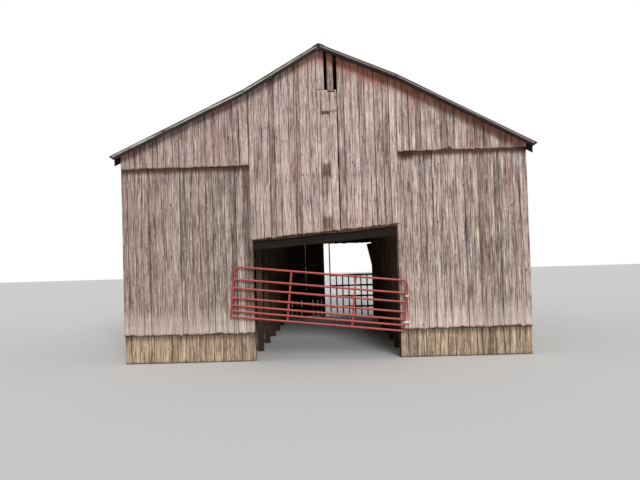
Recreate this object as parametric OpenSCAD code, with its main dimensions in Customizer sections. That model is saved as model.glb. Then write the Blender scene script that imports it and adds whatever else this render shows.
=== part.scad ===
// Gable-front farm barn with a pole frame, board walls, a ribbed metal roof and a tube gate.
// Millimetres. X runs to the right, Y to the back, Z up. The origin is on the ground under the
// middle of the building. Boards stand on end and lap from the top of the wall downwards.

/* [Barn] */
// Width over the side boards
barn_w = 10000; // [9000:50:12000]
// Length over the end boards
barn_l = 12200; // [9000:50:16000]
// Height of the rafters' top edge over the side boards
eave_h = 5150; // [4700:10:5800]
// Slope of the roof in degrees
roof_pitch = 26.5; // [22:0.5:30]
// How far the roof reaches past the side boards
eave_over = 180; // [80:10:500]
// How far the roof reaches past the end boards
rake_over = 300; // [260:10:500]

/* [Boards] */
// Thickness of a wall board
board_t = 22; // [18:1:32]
// Height of the wall boards' lower edge over the ground
skirt_h = 700; // [400:10:1000]
// How far one course of boards laps over the next one
lap = 90; // [40:5:150]
// How far the seam in the front wall's left wing lies under the eaves
seam_left_drop = 330; // [150:5:600]
// How far the seam in the front wall's right wing lies under the eaves
seam_right_drop = 105; // [80:5:600]
// How far the seam in the rear wall lies under the eaves
seam_rear_drop = 250; // [100:5:600]

/* [Front doorway] */
// How far the left wall's boards reach past the edge of the post
edge_left = 15; // [0:1:40]
// How far the right wall's boards stay back from the edge of the post
edge_right = 25; // [0:1:60]
// Height of the boards' lower edge over the doorway, at the middle
door_head_h = 3125; // [2800:5:3400]
// Slant of the boards' lower edge in degrees
door_head_slant = 4.5; // [0:0.1:6]
// How far the boards over the doorway lap past its left edge
middle_lap_left = 40; // [10:5:300]
// How far the boards over the doorway lap past its right edge
middle_lap_right = 55; // [10:5:300]
// Height of the header beam's lower edge, at the middle
header_h = 2850; // [2600:5:3000]
// Slant of the header beam in degrees
header_slant = 4; // [0:0.1:6]
// Depth of the header beam
header_d = 260; // [240:5:300]
// Thickness of the header beam
header_t = 100; // [60:5:150]
// How far the ledger shows under the boards
ledger_show = 75; // [30:5:150]

/* [Vent slots] */
// Left slot: its left edge
slot_1_x = 110; // [60:5:200]
// Left slot: width
slot_1_w = 70; // [40:5:100]
// Right slot: its left edge
slot_2_x = 335; // [300:5:500]
// Right slot: width
slot_2_w = 85; // [40:5:120]
// How far the slots reach down from the ridge
slot_drop = 1020; // [600:10:1200]

/* [Rear doorway] */
// Left edge of the rear doorway, from the middle, to the left
rear_door_left = 270; // [100:10:1500]
// Height of the rear doorway
rear_door_h = 3110; // [2600:10:3400]
// Width of the leaning door leaf
leaf_w = 1040; // [800:10:1100]
// Height of the leaning door leaf
leaf_h = 3120; // [2400:10:3300]
// Lean of the door leaf in degrees
leaf_lean = 12.4; // [4:0.1:16]
// Distance from the doorway's right edge to the leaf's foot
leaf_foot = 440; // [400:5:700]
// Width of a ledge across the back of the leaf
ledge_w = 120; // [80:5:160]
// Thickness of a ledge
ledge_t = 28; // [20:1:40]
// Distance of the outer ledges from the leaf's ends
ledge_in = 250; // [150:10:400]
// Height of the fence in the rear doorway
fence_h = 1790; // [1200:10:2000]
// Height of the fence's lowest rail
fence_foot = 350; // [200:10:500]
// Distance from the doorway's left edge to the fence's pole
fence_in = 210; // [100:5:400]
// Width of a rail
rail_w = 90; // [60:5:120]
// Thickness of the fence's rails and pickets
rail_t = 30; // [20:1:40]
// Number of rails
rail_n = 4; // [3:1:6]
// Width of a picket
picket_w = 70; // [40:5:110]
// Number of pickets
picket_n = 6; // [3:1:10]
// Size of the pole that the fence ends on
pole_w = 60; // [40:5:100]

/* [Frame] */
// Size of a post, square
post_w = 150; // [120:5:180]
// Half of the clear width between the drive posts
drive_half = 1775; // [1600:5:1775]
// Place of the posts in the middle of each wing, from the middle of the barn
mid_post_x = 3400; // [3000:10:3800]
// Thickness of the girts behind the lower boards
girt_t = 50; // [38:1:70]
// Width of a girt
girt_w = 150; // [100:5:180]
// Height of the lowest wall girt over the boards' lower edge
girt_foot = 250; // [230:5:300]
// Distance from the upper wall girt down from the left seam
girt_head = 170; // [60:5:300]
// Number of bays along the barn
bays = 7; // [5:1:9]
// Width of the eave and purlin plates
plate_w = 100; // [80:5:130]
// Depth of the eave and purlin plates
plate_d = 150; // [120:5:200]
// Thickness of a tie beam
tie_t = 50; // [38:1:70]
// Depth of a tie beam
tie_d = 170; // [140:5:220]
// How far a knee brace reaches along the tie beam and down the post
brace_reach = 620; // [400:10:800]
// Width of a knee brace
brace_w = 95; // [70:5:130]

/* [Roof] */
// How far the left purlin plate has sunk under a straight roof line
sink_left = 130; // [0:5:160]
// How far the right purlin plate stands over a straight roof line
rise_right = 120; // [0:5:160]
// Depth of a rafter, square to its slope
rafter_d = 140; // [120:5:180]
// Thickness of a rafter
rafter_t = 45; // [38:1:60]
// Number of rafter bays
rafter_bays = 20; // [14:1:26]
// Thickness of a batten
batten_t = 25; // [19:1:32]
// Width of a batten
batten_w = 95; // [70:5:130]
// Number of battens on each slope
batten_n = 10; // [7:1:12]
// Distance of the first batten from the ridge
batten_in = 40; // [20:1:80]
// How far the roof sheets reach past the last batten, the rafters and the verge boards
sheet_over = 22; // [10:1:40]
// Thickness of the roof sheet
sheet_t = 5; // [3:0.5:8]
// Height of a rib in the roof sheet
rib_h = 18; // [12:1:26]
// Width of a rib in the roof sheet
rib_w = 46; // [36:1:60]
// Number of rib spacings along the barn
rib_n = 42; // [30:1:52]
// Gap between the roof sheets at the ridge
ridge_gap = 24; // [10:1:60]
// Width of the ridge cap down each slope
cap_w = 170; // [120:5:240]
// Thickness of the ridge cap
cap_t = 5; // [3:0.5:8]
// Depth of the verge boards
verge_d = 120; // [80:5:180]
// Thickness of the verge boards
verge_t = 22; // [18:1:30]

/* [Gate] */
// Length of the gate over its tubes
gate_l = 4260; // [3900:10:4300]
// Height of the gate over its tubes
gate_h = 1270; // [1100:10:1400]
// Diameter of the gate's tubes
gate_tube = 50; // [40:1:60]
// Slope of the gate in degrees, right end lower
gate_tilt = 6.3; // [0:0.1:8]
// Height of the gate's middle
gate_z = 1496; // [1300:1:1700]
// Distance from the boards to the gate's plane
gate_off = 110; // [100:1:160]
// Radius of the bends at the gate's upper corners
bend_r = 125; // [80:5:180]
// Place of the first stay, as a share of the gate's length
share_1 = 0.33; // [0.25:0.01:0.4]
// Place of the second stay, as a share of the gate's length
share_2 = 0.70; // [0.6:0.01:0.75]
// Thickness of a stay's flat bar
stay_t = 8; // [5:1:12]
// Width of a stay's flat bar
stay_w = 45; // [30:1:60]
// Diameter of a hinge pin
pin_d = 20; // [16:1:25]
// Clearance around a hinge pin, on the radius
pin_clear = 0.08; // [0.03:0.01:0.1]
// Gap between a hinge eye and the bar above it
hinge_gap = 14; // [8:1:20]
// Height of a hinge eye
eye_h = 45; // [35:1:60]
// Wall of a hinge eye and of its band
eye_wall = 8; // [6:0.5:12]
// How far the hinge pins stand to the right of the gate's end tube, at the upper hinge
pin_gap = 52; // [50:1:60]
// Radius of the bend in a hinge pin
pin_bend = 16; // [14:1:24]

/* [Hidden] */
$fn = 48;

half_w = barn_w / 2;
half_l = barn_l / 2;
slope = tan(roof_pitch);
run = cos(roof_pitch);
ridge_h = eave_h + half_w * slope;

// Planes of the boards, measured from the building's outer face inwards
lower_in = board_t;
skirt_in = 2 * board_t;
frame_in = 2 * board_t + girt_t;
post_face = half_l - frame_in;
side_face = half_w - board_t - girt_t;

// Heights along the roof, which has a knee over each purlin plate; s is the side, -1 or 1
rafter_v = rafter_d / run;
purlin_x = drive_half + post_w / 2;
function off_line(x) = (x < 0 ? -sink_left : rise_right)
    * min(abs(x) / purlin_x, (half_w - abs(x)) / (half_w - purlin_x));
function rafter_top(x) = ridge_h - abs(x) * slope + off_line(x);
function rafter_low(x) = rafter_top(x) - rafter_v;
function high_pitch(s) = atan((ridge_h - rafter_top(s * purlin_x)) / purlin_x);
function low_pitch(s) = atan((rafter_top(s * purlin_x) - eave_h) / (half_w - purlin_x));
plate_top = max(rafter_low(side_face - plate_w), rafter_low(plate_w - side_face));
plate_low = plate_top - plate_d;
board_gap = 4;
batten_seat = 0.01;
side_top = rafter_low(half_w) - board_gap;
function purlin_top(s) = rafter_low(s * (purlin_x - plate_w / 2));
function purlin_low(s) = purlin_top(s) - plate_d;
tail_x = half_w + eave_over - sheet_over;

// Places of the bents along the barn
bent_first = post_face - post_w / 2;
bent_step = 2 * bent_first / bays;
function bent_y(i) = -bent_first + i * bent_step;
function tie_y(i) = i == bays ? bent_y(i) - post_w / 2 - tie_t : bent_y(i) + post_w / 2;

// Places of the rafters and battens
rafter_first = half_l - board_t - rafter_t / 2;
rafter_step = 2 * rafter_first / rafter_bays;
roof_half_l = half_l + rake_over;
function high_run(s) = purlin_x / cos(high_pitch(s));
function low_run(s) = (half_w + eave_over - purlin_x) / cos(low_pitch(s));
function batten_step(s) = (high_run(s) + low_run(s) - batten_in - batten_w - sheet_over) / (batten_n - 1);
rib_step = (2 * roof_half_l - rib_w) / rib_n;

// Doorway
door_left = drive_half - edge_left;
door_right = drive_half + edge_right;
middle_left = door_left + middle_lap_left;
middle_right = door_right + middle_lap_right;
head_slope = tan(door_head_slant);
header_slope = tan(header_slant);
function head_z(x) = door_head_h + x * head_slope;
function header_z(x) = header_h + x * header_slope;
slot_h = ridge_h - slot_drop;

// Girts: heights of their lower edges behind the skirts, in the walls and in the gables
seam_left_h = eave_h - seam_left_drop;
seam_right_h = eave_h - seam_right_drop;
seam_rear_h = eave_h - seam_rear_drop;
skirt_top = skirt_h + lap * 2 / 3;
skirt_girt = skirt_h / 2 - girt_w / 2;
girt_low = skirt_h + girt_foot;
girt_high = seam_left_h - girt_head - girt_w;
lower_girts = [for (i = [0 : 3]) girt_low + i * (girt_high - girt_low) / 3];
gable_low = max(seam_left_h, seam_right_h, seam_rear_h) + lap + board_gap;
gable_girts = [gable_low, gable_low + 0.4 * (ridge_h - rafter_v - gable_low)];

// Gate
gate_r = gate_tube / 2;
gate_y = -(half_l + gate_off);
end_in = gate_l / 2 - gate_r;
bar_top = gate_h / 2 - gate_r;
// The bars between the top and the bottom one, closer together towards the ground
bar_shares = [0.25, 0.426, 0.623, 0.773, 0.888];
function bar_v(i) = bar_top - 2 * bar_top * bar_shares[i];
// Height of the place v on the right end tube, and v of the height z
function end_z(v) = gate_z - end_in * sin(gate_tilt) + v * cos(gate_tilt);
function end_v(z) = (z - end_z(0)) / cos(gate_tilt);
// The eyes sit under the second and the fifth bar
hinge_high_z = end_z(bar_v(0)) - gate_r - hinge_gap - eye_h;
hinge_low_z = end_z(bar_v(3)) - gate_r - hinge_gap - eye_h;
// The pins stand before the middle of the hanging post, which fixes the gate's place
pin_x = drive_half + 1.5 * post_w;
gate_x = pin_x - pin_gap - end_in * cos(gate_tilt) - end_v(hinge_high_z + eye_h / 2) * sin(gate_tilt);
function end_x(z) = gate_x + end_in * cos(gate_tilt) + end_v(z) * sin(gate_tilt);
pin_r = pin_d / 2;
eye_r = pin_r + pin_clear;
shank_drop = pin_r + pin_bend;

// Rear doorway
rear_x0 = -rear_door_left;
rear_x1 = door_right;

// Draws a profile in the plane of the front wall, from y0 to y0 + t
module wall(points, y0, t)
    translate([0, y0 + t, 0]) rotate([90, 0, 0]) linear_extrude(t) polygon(points);

// A box between two corners
module block(a, b) translate(a) cube(b - a);

// All that lies under the rafters' top edges, moved up by d
module under_roof(d, y0, t) wall([
    [tail_x, 0],
    [-tail_x, 0],
    [-tail_x, rafter_top(-tail_x) + d],
    [-purlin_x, rafter_top(-purlin_x) + d],
    [0, ridge_h + d],
    [purlin_x, rafter_top(purlin_x) + d],
    [tail_x, rafter_top(tail_x) + d]
], y0, t);

// Repeats a shape on the other side
module both_sides() {
    children();
    mirror([1, 0, 0]) children();
}

// Repeats a shape at the other end
module both_ends() {
    children();
    mirror([0, 1, 0]) children();
}

// Front wall

module front_gable() color("rosybrown") difference() {
    intersection() {
        wall([
            [-middle_left, head_z(-middle_left)],
            [middle_right, head_z(middle_right)],
            [middle_right, ridge_h],
            [-middle_left, ridge_h]
        ], -half_l, board_t);
        under_roof(0, -half_l - board_t, 3 * board_t);
    }
    for (slot = [[slot_1_x, slot_1_w], [slot_2_x, slot_2_w]])
        translate([slot[0], -half_l - board_t, slot_h]) cube([slot[1], 3 * board_t, ridge_h]);
}

// The upper boards beside the gable's middle, from x0 to x1
module front_wing(x0, x1, seam) intersection() {
    block([x0, -half_l, seam], [x1, board_t - half_l, ridge_h]);
    under_roof(0, -half_l - board_t, 3 * board_t);
}

module front_wing_left() color("rosybrown") front_wing(-half_w, -middle_left, seam_left_h);

module front_wing_right() color("rosybrown") front_wing(middle_right, half_w, seam_right_h);

// The boards of a lower wall from x0 to x1, in the front plane, cut to stay under the rafters
module lower_wall(x0, x1, seam) intersection() {
    block([x0, lower_in - half_l, skirt_h], [x1, 2 * board_t - half_l, seam + lap]);
    under_roof(-rafter_v - board_gap, -half_l, 3 * board_t);
}

module front_wall_left() color("tan") lower_wall(-half_w, -door_left, seam_left_h);

module front_wall_right() color("tan") difference() {
    lower_wall(door_right, half_w, seam_right_h);
    for (z = [hinge_low_z, hinge_high_z])
        translate([pin_x, -half_l, z - shank_drop]) rotate([-90, 0, 0])
            cylinder(r = pin_r + board_gap / 2, h = 3 * board_t);
}

module front_skirts() color("burlywood") {
    block(
        [-half_w + board_t, skirt_in - half_l, 0],
        [-door_left, 3 * board_t - half_l, skirt_top]);
    block(
        [door_right, skirt_in - half_l, 0],
        [half_w - board_t, 3 * board_t - half_l, skirt_top]);
}

// Rear wall

module rear_gable() color("rosybrown") intersection() {
    wall([
        [-half_w, seam_rear_h],
        [rear_x0, seam_rear_h],
        [rear_x0, rear_door_h],
        [rear_x1, rear_door_h],
        [rear_x1, seam_rear_h],
        [half_w, seam_rear_h],
        [half_w, ridge_h],
        [-half_w, ridge_h]
    ], half_l - board_t, board_t);
    under_roof(0, half_l - 2 * board_t, 3 * board_t);
}

module rear_wall_left() color("tan") mirror([0, 1, 0]) lower_wall(-half_w, rear_x0, seam_rear_h);

module rear_wall_right() color("tan") mirror([0, 1, 0]) lower_wall(rear_x1, half_w, seam_rear_h);

module rear_skirts() color("burlywood") {
    block(
        [-half_w + board_t, half_l - 3 * board_t, 0],
        [rear_x0, half_l - skirt_in, skirt_top]);
    block(
        [rear_x1, half_l - 3 * board_t, 0],
        [half_w - board_t, half_l - skirt_in, skirt_top]);
}

// Side walls

module side_wall() block(
    [half_w - board_t, 2 * board_t - half_l, skirt_h],
    [half_w, half_l - 2 * board_t, side_top]);

module side_wall_left() color("tan") mirror([1, 0, 0]) side_wall();

module side_wall_right() color("tan") side_wall();

module side_skirts() color("burlywood") both_sides() block(
    [half_w - 2 * board_t, 3 * board_t - half_l, 0],
    [half_w - board_t, half_l - 3 * board_t, skirt_top]);

// Girts

module girt(x0, x1, z, back) block(
    [x0, back - half_l, z],
    [x1, frame_in - half_l, z + girt_w]);

// A girt high in a gable, cut to stay under the rafters
module gable_girt(z) intersection() {
    girt(-side_face, side_face, z, board_t);
    under_roof(-rafter_v - board_gap, -half_l, 2 * frame_in);
}

module front_girts() color("sienna") {
    for (z = concat([skirt_girt], lower_girts)) {
        back = z < skirt_h ? 3 * board_t : 2 * board_t;
        girt(-side_face, -door_left, z, back);
        girt(door_right, side_face, z, back);
    }
    for (z = gable_girts) gable_girt(z);
    girt(board_gap - door_left, door_right - board_gap, girt_high, board_t);
}

module rear_girts() color("sienna") mirror([0, 1, 0]) {
    for (z = concat([skirt_girt], lower_girts)) {
        back = z < skirt_h ? 3 * board_t : 2 * board_t;
        if (z > rear_door_h) girt(-side_face, side_face, z, back);
        else {
            girt(-side_face, rear_x0, z, back);
            girt(rear_x1, side_face, z, back);
        }
    }
    for (z = gable_girts) gable_girt(z);
}

module side_girts() color("sienna") both_sides() for (z = concat([skirt_girt], lower_girts)) block(
    [side_face, -post_face, z],
    [half_w - (z < skirt_h ? 2 : 1) * board_t, post_face, z + girt_w]);

// Posts

module post(x, y, z1) translate([x - post_w / 2, y - post_w / 2, 0]) cube([post_w, post_w, z1]);

module corner_posts() color("saddlebrown") both_ends() both_sides()
    post(side_face - post_w / 2, bent_first, plate_low);

module wall_posts() for (i = [1 : bays - 1]) post(side_face - post_w / 2, bent_y(i), plate_low);

module wall_posts_left() color("saddlebrown") mirror([1, 0, 0]) wall_posts();

module wall_posts_right() color("saddlebrown") wall_posts();

module drive_posts(s) for (i = [0 : bays]) post(s * purlin_x, bent_y(i), purlin_low(s));

module drive_posts_left() color("saddlebrown") drive_posts(-1);

module drive_posts_right() color("saddlebrown") drive_posts(1);

module wing_posts() color("saddlebrown") both_ends() for (s = [-1, 1])
    post(s * mid_post_x, bent_first, rafter_low(s * (mid_post_x + post_w / 2)) - board_gap);

// The left post of the rear doorway, and the front post that the gate hangs on
module door_posts() color("saddlebrown") {
    post(rear_x0 - post_w / 2, bent_first, plate_low);
    post(pin_x, -bent_first, lower_girts[1] + girt_w);
}

// Doorway header

module header_beams() color("saddlebrown") {
    wall([
        [-drive_half, header_z(-drive_half)],
        [drive_half, header_z(drive_half)],
        [drive_half, header_z(drive_half) + header_d],
        [-drive_half, header_z(-drive_half) + header_d]
    ], -post_face, header_t);
    block(
        [rear_x0, post_face - header_t, rear_door_h],
        [drive_half, post_face, rear_door_h + header_d]);
}

module ledger() color("peru") wall([
    [board_gap - door_left, head_z(-door_left) - ledger_show],
    [door_right - board_gap, head_z(door_right) - ledger_show],
    [door_right - board_gap, head_z(door_right) - ledger_show + girt_w],
    [board_gap - door_left, head_z(-door_left) - ledger_show + girt_w]
], board_t - half_l, frame_in - board_t);

module gable_studs() color("saddlebrown") {
    stud = plate_w;
    wall([
        [-stud / 2, header_z(-stud / 2) + header_d],
        [stud / 2, header_z(stud / 2) + header_d],
        [stud / 2, rafter_low(stud / 2) - board_gap],
        [-stud / 2, rafter_low(-stud / 2) - board_gap]
    ], -post_face, stud);
    block(
        [-stud / 2, post_face - stud, rear_door_h + header_d],
        [stud / 2, post_face, rafter_low(-stud / 2) - board_gap]);
}

// Plates, ties and braces

module eave_plates() color("saddlebrown") both_sides() block(
    [side_face - plate_w, -post_face, plate_low],
    [side_face, post_face, plate_top]);

module purlin_plates() color("saddlebrown") for (s = [-1, 1]) block(
    [s * purlin_x - plate_w / 2, -post_face, purlin_low(s)],
    [s * purlin_x + plate_w / 2, post_face, purlin_top(s)]);

module tie_beams() color("saddlebrown") for (i = [0 : bays]) block(
    [-side_face, tie_y(i), plate_low - tie_d],
    [side_face, tie_y(i) + tie_t, plate_low]);

// A brace in the plane of a tie beam: its top butts the tie, its foot laps the drive post
module knee_brace(side) {
    top = plate_low - tie_d;
    x = side * purlin_x;
    w = brace_w * sqrt(2);
    far = x + side * (brace_reach + w);
    wall([
        [x, top - brace_reach - w],
        [far, top],
        [far - side * w, top],
        [x, top - brace_reach]
    ], 0, tie_t);
}

module knee_braces() color("saddlebrown") for (i = [0 : bays], side = [-1, 1])
    translate([0, tie_y(i), 0]) knee_brace(side);

// Roof frame: each rafter is notched over the purlin plate and the eave plate

module rafter(s) wall([
    [0.5, rafter_top(s * 0.5)],
    [0.5, rafter_low(s * 0.5)],
    [purlin_x - plate_w / 2, purlin_top(s)],
    [purlin_x + plate_w / 2, purlin_top(s)],
    [purlin_x + plate_w / 2, rafter_low(s * (purlin_x + plate_w / 2))],
    [side_face - plate_w, plate_top],
    [side_face, plate_top],
    [side_face, rafter_low(s * side_face)],
    [tail_x, rafter_low(s * tail_x)],
    [tail_x, rafter_top(s * tail_x)],
    [purlin_x, rafter_top(s * purlin_x)]
], -rafter_t / 2, rafter_t);

module rafters(s) for (i = [0 : rafter_bays])
    translate([0, -rafter_first + i * rafter_step, 0]) rafter(s);

module rafters_left() color("sienna") mirror([1, 0, 0]) rafters(-1);

module rafters_right() color("sienna") rafters(1);

// Frames of a slope: x down the slope from the ridge or from the knee, z square to it
module on_high_slope(s) translate([0, 0, ridge_h]) rotate([0, high_pitch(s), 0]) children();

module on_low_slope(s) translate([purlin_x, 0, rafter_top(s * purlin_x)])
    rotate([0, low_pitch(s), 0]) children();

module batten(x) translate([x, verge_t - roof_half_l, batten_seat])
    cube([batten_w, 2 * (roof_half_l - verge_t), batten_t - batten_seat]);

module battens(s) for (i = [0 : batten_n - 1]) {
    down = batten_in + i * batten_step(s);
    if (down + batten_w / 2 < high_run(s)) on_high_slope(s)
        batten(min(down, high_run(s) - batten_w - board_gap));
    else on_low_slope(s)
        batten(max(down - high_run(s), board_gap));
}

module battens_left() color("sienna") mirror([1, 0, 0]) battens(-1);

module battens_right() color("sienna") battens(1);

// Half of the sheet's section, as points [y, z] along one face
function rib_points(z) = [for (i = [0 : rib_n]) let (y = -roof_half_l + i * rib_step) each [
    [y, z],
    [y + rib_w * 0.35, z + rib_h],
    [y + rib_w * 0.65, z + rib_h],
    [y + rib_w, z]
]];
function reversed(list) = [for (i = [len(list) - 1 : -1 : 0]) list[i]];

// Ribbed sheet from x0 to x1 down a slope
module ribbed(x0, x1) translate([x0, 0, batten_t]) rotate([90, 0, 90]) linear_extrude(x1 - x0)
    polygon(concat(rib_points(sheet_t), reversed(rib_points(0))));

// All that lies from x0 to x1 of the mitre at a knee
module mitre(s, x0, x1) translate([purlin_x, 0, rafter_top(s * purlin_x)])
    rotate([0, (high_pitch(s) + low_pitch(s)) / 2, 0]) block([x0, -barn_l, -barn_w], [x1, barn_l, barn_w]);

// The sheets of one side, bent over the knee
module sheet(s) {
    intersection() {
        on_high_slope(s) ribbed(ridge_gap / 2, high_run(s) + batten_w);
        mitre(s, -barn_w, 0);
    }
    intersection() {
        on_low_slope(s) ribbed(-batten_w, low_run(s));
        mitre(s, 0, barn_w);
    }
}

module roof_left() color("lightslategray") mirror([1, 0, 0]) sheet(-1);

module roof_right() color("rosybrown") sheet(1);

// Height over x of what lies d over the rafters, beside the ridge
function cap_z(s, x, d) = ridge_h - x * tan(high_pitch(s)) + d / cos(high_pitch(s));

module ridge_cap() color("gray") {
    low = batten_t + sheet_t + rib_h + 0.5;
    high = low + cap_t;
    left = cap_w * cos(high_pitch(-1));
    right = cap_w * cos(high_pitch(1));
    peak = max(cap_z(-1, 0, low), cap_z(1, 0, low));
    wall([
        [-left, cap_z(-1, left, low)],
        [0, peak],
        [right, cap_z(1, right, low)],
        [right, cap_z(1, right, high)],
        [0, peak + cap_t / run],
        [-left, cap_z(-1, left, high)]
    ], -roof_half_l, 2 * roof_half_l);
}

// The points of a strip along one slope, from a to b over the rafters' top edges
function strip(s, x0, x1, a, b) = [
    for (x = [x0, purlin_x, x1]) [s * x, rafter_top(s * x) + a],
    for (x = [x1, purlin_x, x0]) [s * x, rafter_top(s * x) + b]
];

module verge_boards() color("dimgray") both_ends() for (s = [-1, 1])
    wall(strip(s, 0.5, tail_x, batten_t - verge_d / run, batten_t), -roof_half_l, verge_t);

// Rear doorway

module rear_fence() color("gray") {
    y = post_face - pole_w - rail_t;
    step = (fence_h - fence_foot - rail_w) / (rail_n - 1);
    x0 = rear_x0 + fence_in;
    block([x0, post_face - pole_w, 0], [x0 + pole_w, post_face, rear_door_h]);
    for (i = [0 : rail_n - 1]) block(
        [x0, y, fence_foot + i * step],
        [drive_half, y + rail_t, fence_foot + i * step + rail_w]);
    for (i = [1 : picket_n]) translate([x0 + i * (drive_half - x0) / (picket_n + 1), y - rail_t, 0])
        cube([picket_w, rail_t, fence_h - rail_w / 2]);
}

module leaning_door() color("saddlebrown")
    translate([rear_x1 + leaf_foot, half_l - lower_in, 0]) rotate([0, -leaf_lean, 0]) {
        cube([leaf_w, board_t, leaf_h]);
        for (z = [ledge_in, (leaf_h - ledge_w) / 2, leaf_h - ledge_in - ledge_w])
            translate([ledge_t, board_t, z]) cube([leaf_w - 2 * ledge_t, ledge_t, ledge_w]);
    }

// Gate

module gate_plane() translate([gate_x, gate_y, gate_z]) rotate([0, gate_tilt, 0]) children();

// A tube between two points of the gate's plane
module tube(u0, v0, u1, v1, r) translate([u0, 0, v0])
    rotate([0, atan2(u1 - u0, v1 - v0), 0])
        cylinder(r = r, h = norm([u1 - u0, v1 - v0]));

// A quarter bend of the gate's frame at the upper right corner
module bend() translate([end_in - bend_r, 0, bar_top - bend_r]) rotate([90, 0, 0])
    rotate_extrude(angle = 90) translate([bend_r, 0]) circle(r = gate_r);

module gate_frame() color("indianred") gate_plane() {
    for (side = [0, 1]) mirror([side, 0, 0]) {
        bend();
        tube(end_in, -bar_top - gate_r, end_in, bar_top - bend_r, gate_r);
    }
    tube(bend_r - end_in, bar_top, end_in - bend_r, bar_top, gate_r);
}

module gate_bars() color("indianred") gate_plane() difference() {
    union() {
        for (i = [0 : len(bar_shares) - 1]) tube(-end_in, bar_v(i), end_in, bar_v(i), gate_r);
        tube(-end_in, -bar_top, end_in, -bar_top, gate_r);
    }
    for (side = [-1, 1]) tube(side * end_in, -gate_h, side * end_in, gate_h, gate_r);
}

// Flat bars on the back of the gate, one at each stay
module gate_stays() color("indianred") gate_plane() for (share = [share_1, share_2])
    translate([share * gate_l - gate_l / 2 - stay_w / 2, gate_r, -bar_top - gate_r])
        cube([stay_w, stay_t, 2 * bar_top + gate_r]);

// A band around the end tube with an arm to an eye on the hinge pin
module gate_hinge(z) {
    x = end_x(z + eye_h / 2);
    translate([0, gate_y, z]) difference() {
        union() {
            translate([pin_x, 0, 0]) cylinder(r = eye_r + eye_wall, h = eye_h);
            translate([x, -eye_wall, 0]) cube([pin_x - x, 2 * eye_wall, eye_h]);
            translate([x, 0, 0]) cylinder(r = gate_r + eye_wall, h = eye_h);
        }
        translate([pin_x, 0, -eye_h]) cylinder(r = eye_r, h = 3 * eye_h);
        translate([gate_x, 0, gate_z - z]) rotate([0, gate_tilt, 0])
            tube(end_in, -gate_h, end_in, gate_h, gate_r);
    }
}

module gate_hinges() color("gray") {
    gate_hinge(hinge_low_z);
    gate_hinge(hinge_high_z);
}

// A bent pin: its shank runs through the boards to the door post, its pin stands in the eye
module gate_pin(z) translate([pin_x, 0, z]) {
    translate([0, gate_y, pin_bend - shank_drop])
        cylinder(r = pin_r, h = shank_drop - pin_bend + eye_h + hinge_gap);
    translate([0, gate_y + pin_bend, pin_bend - shank_drop]) rotate([-90, 0, -90])
        rotate_extrude(angle = 90) translate([pin_bend, 0]) circle(r = pin_r);
    translate([0, gate_y + pin_bend, -shank_drop]) rotate([-90, 0, 0])
        cylinder(r = pin_r, h = -post_face - gate_y - pin_bend);
}

module gate_pins() color("silver") {
    gate_pin(hinge_low_z);
    gate_pin(hinge_high_z);
}

front_gable();
front_wing_left();
front_wing_right();
front_wall_left();
front_wall_right();
front_skirts();
rear_gable();
rear_wall_left();
rear_wall_right();
rear_skirts();
side_wall_left();
side_wall_right();
side_skirts();
front_girts();
rear_girts();
side_girts();
corner_posts();
wall_posts_left();
wall_posts_right();
drive_posts_left();
drive_posts_right();
wing_posts();
door_posts();
header_beams();
ledger();
gable_studs();
eave_plates();
purlin_plates();
tie_beams();
knee_braces();
rafters_left();
rafters_right();
battens_left();
battens_right();
roof_left();
roof_right();
ridge_cap();
verge_boards();
rear_fence();
leaning_door();
gate_pins();
gate_frame();
gate_bars();
gate_stays();
gate_hinges();
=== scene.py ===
import math
import bpy
import numpy as np
from mathutils import Matrix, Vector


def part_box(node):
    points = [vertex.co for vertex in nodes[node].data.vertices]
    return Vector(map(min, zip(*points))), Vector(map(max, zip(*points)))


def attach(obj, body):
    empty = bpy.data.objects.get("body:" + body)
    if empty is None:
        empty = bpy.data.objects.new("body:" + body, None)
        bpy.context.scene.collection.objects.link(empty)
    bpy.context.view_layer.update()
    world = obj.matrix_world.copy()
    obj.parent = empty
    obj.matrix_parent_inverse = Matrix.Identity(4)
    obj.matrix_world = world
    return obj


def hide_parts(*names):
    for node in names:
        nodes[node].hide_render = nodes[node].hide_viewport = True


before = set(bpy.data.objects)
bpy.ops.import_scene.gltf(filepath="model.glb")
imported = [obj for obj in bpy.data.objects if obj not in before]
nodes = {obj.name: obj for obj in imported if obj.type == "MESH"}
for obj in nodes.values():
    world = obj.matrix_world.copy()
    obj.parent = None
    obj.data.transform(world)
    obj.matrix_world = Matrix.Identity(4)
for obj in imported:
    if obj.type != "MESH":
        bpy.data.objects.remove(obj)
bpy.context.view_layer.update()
scene = bpy.context.scene
print("stage: frame loaded,", len(nodes), "nodes")

# materials: numbers as expressions


def srgb(r, g, b):
    # a screen colour of 0 to 255 as the linear colour that the shader wants
    def linear(c):
        c = c / 255
        return c / 12.92 if c <= 0.04045 else ((c + 0.055) / 1.055) ** 2.4
    return (linear(r), linear(g), linear(b), 1.0)


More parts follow.
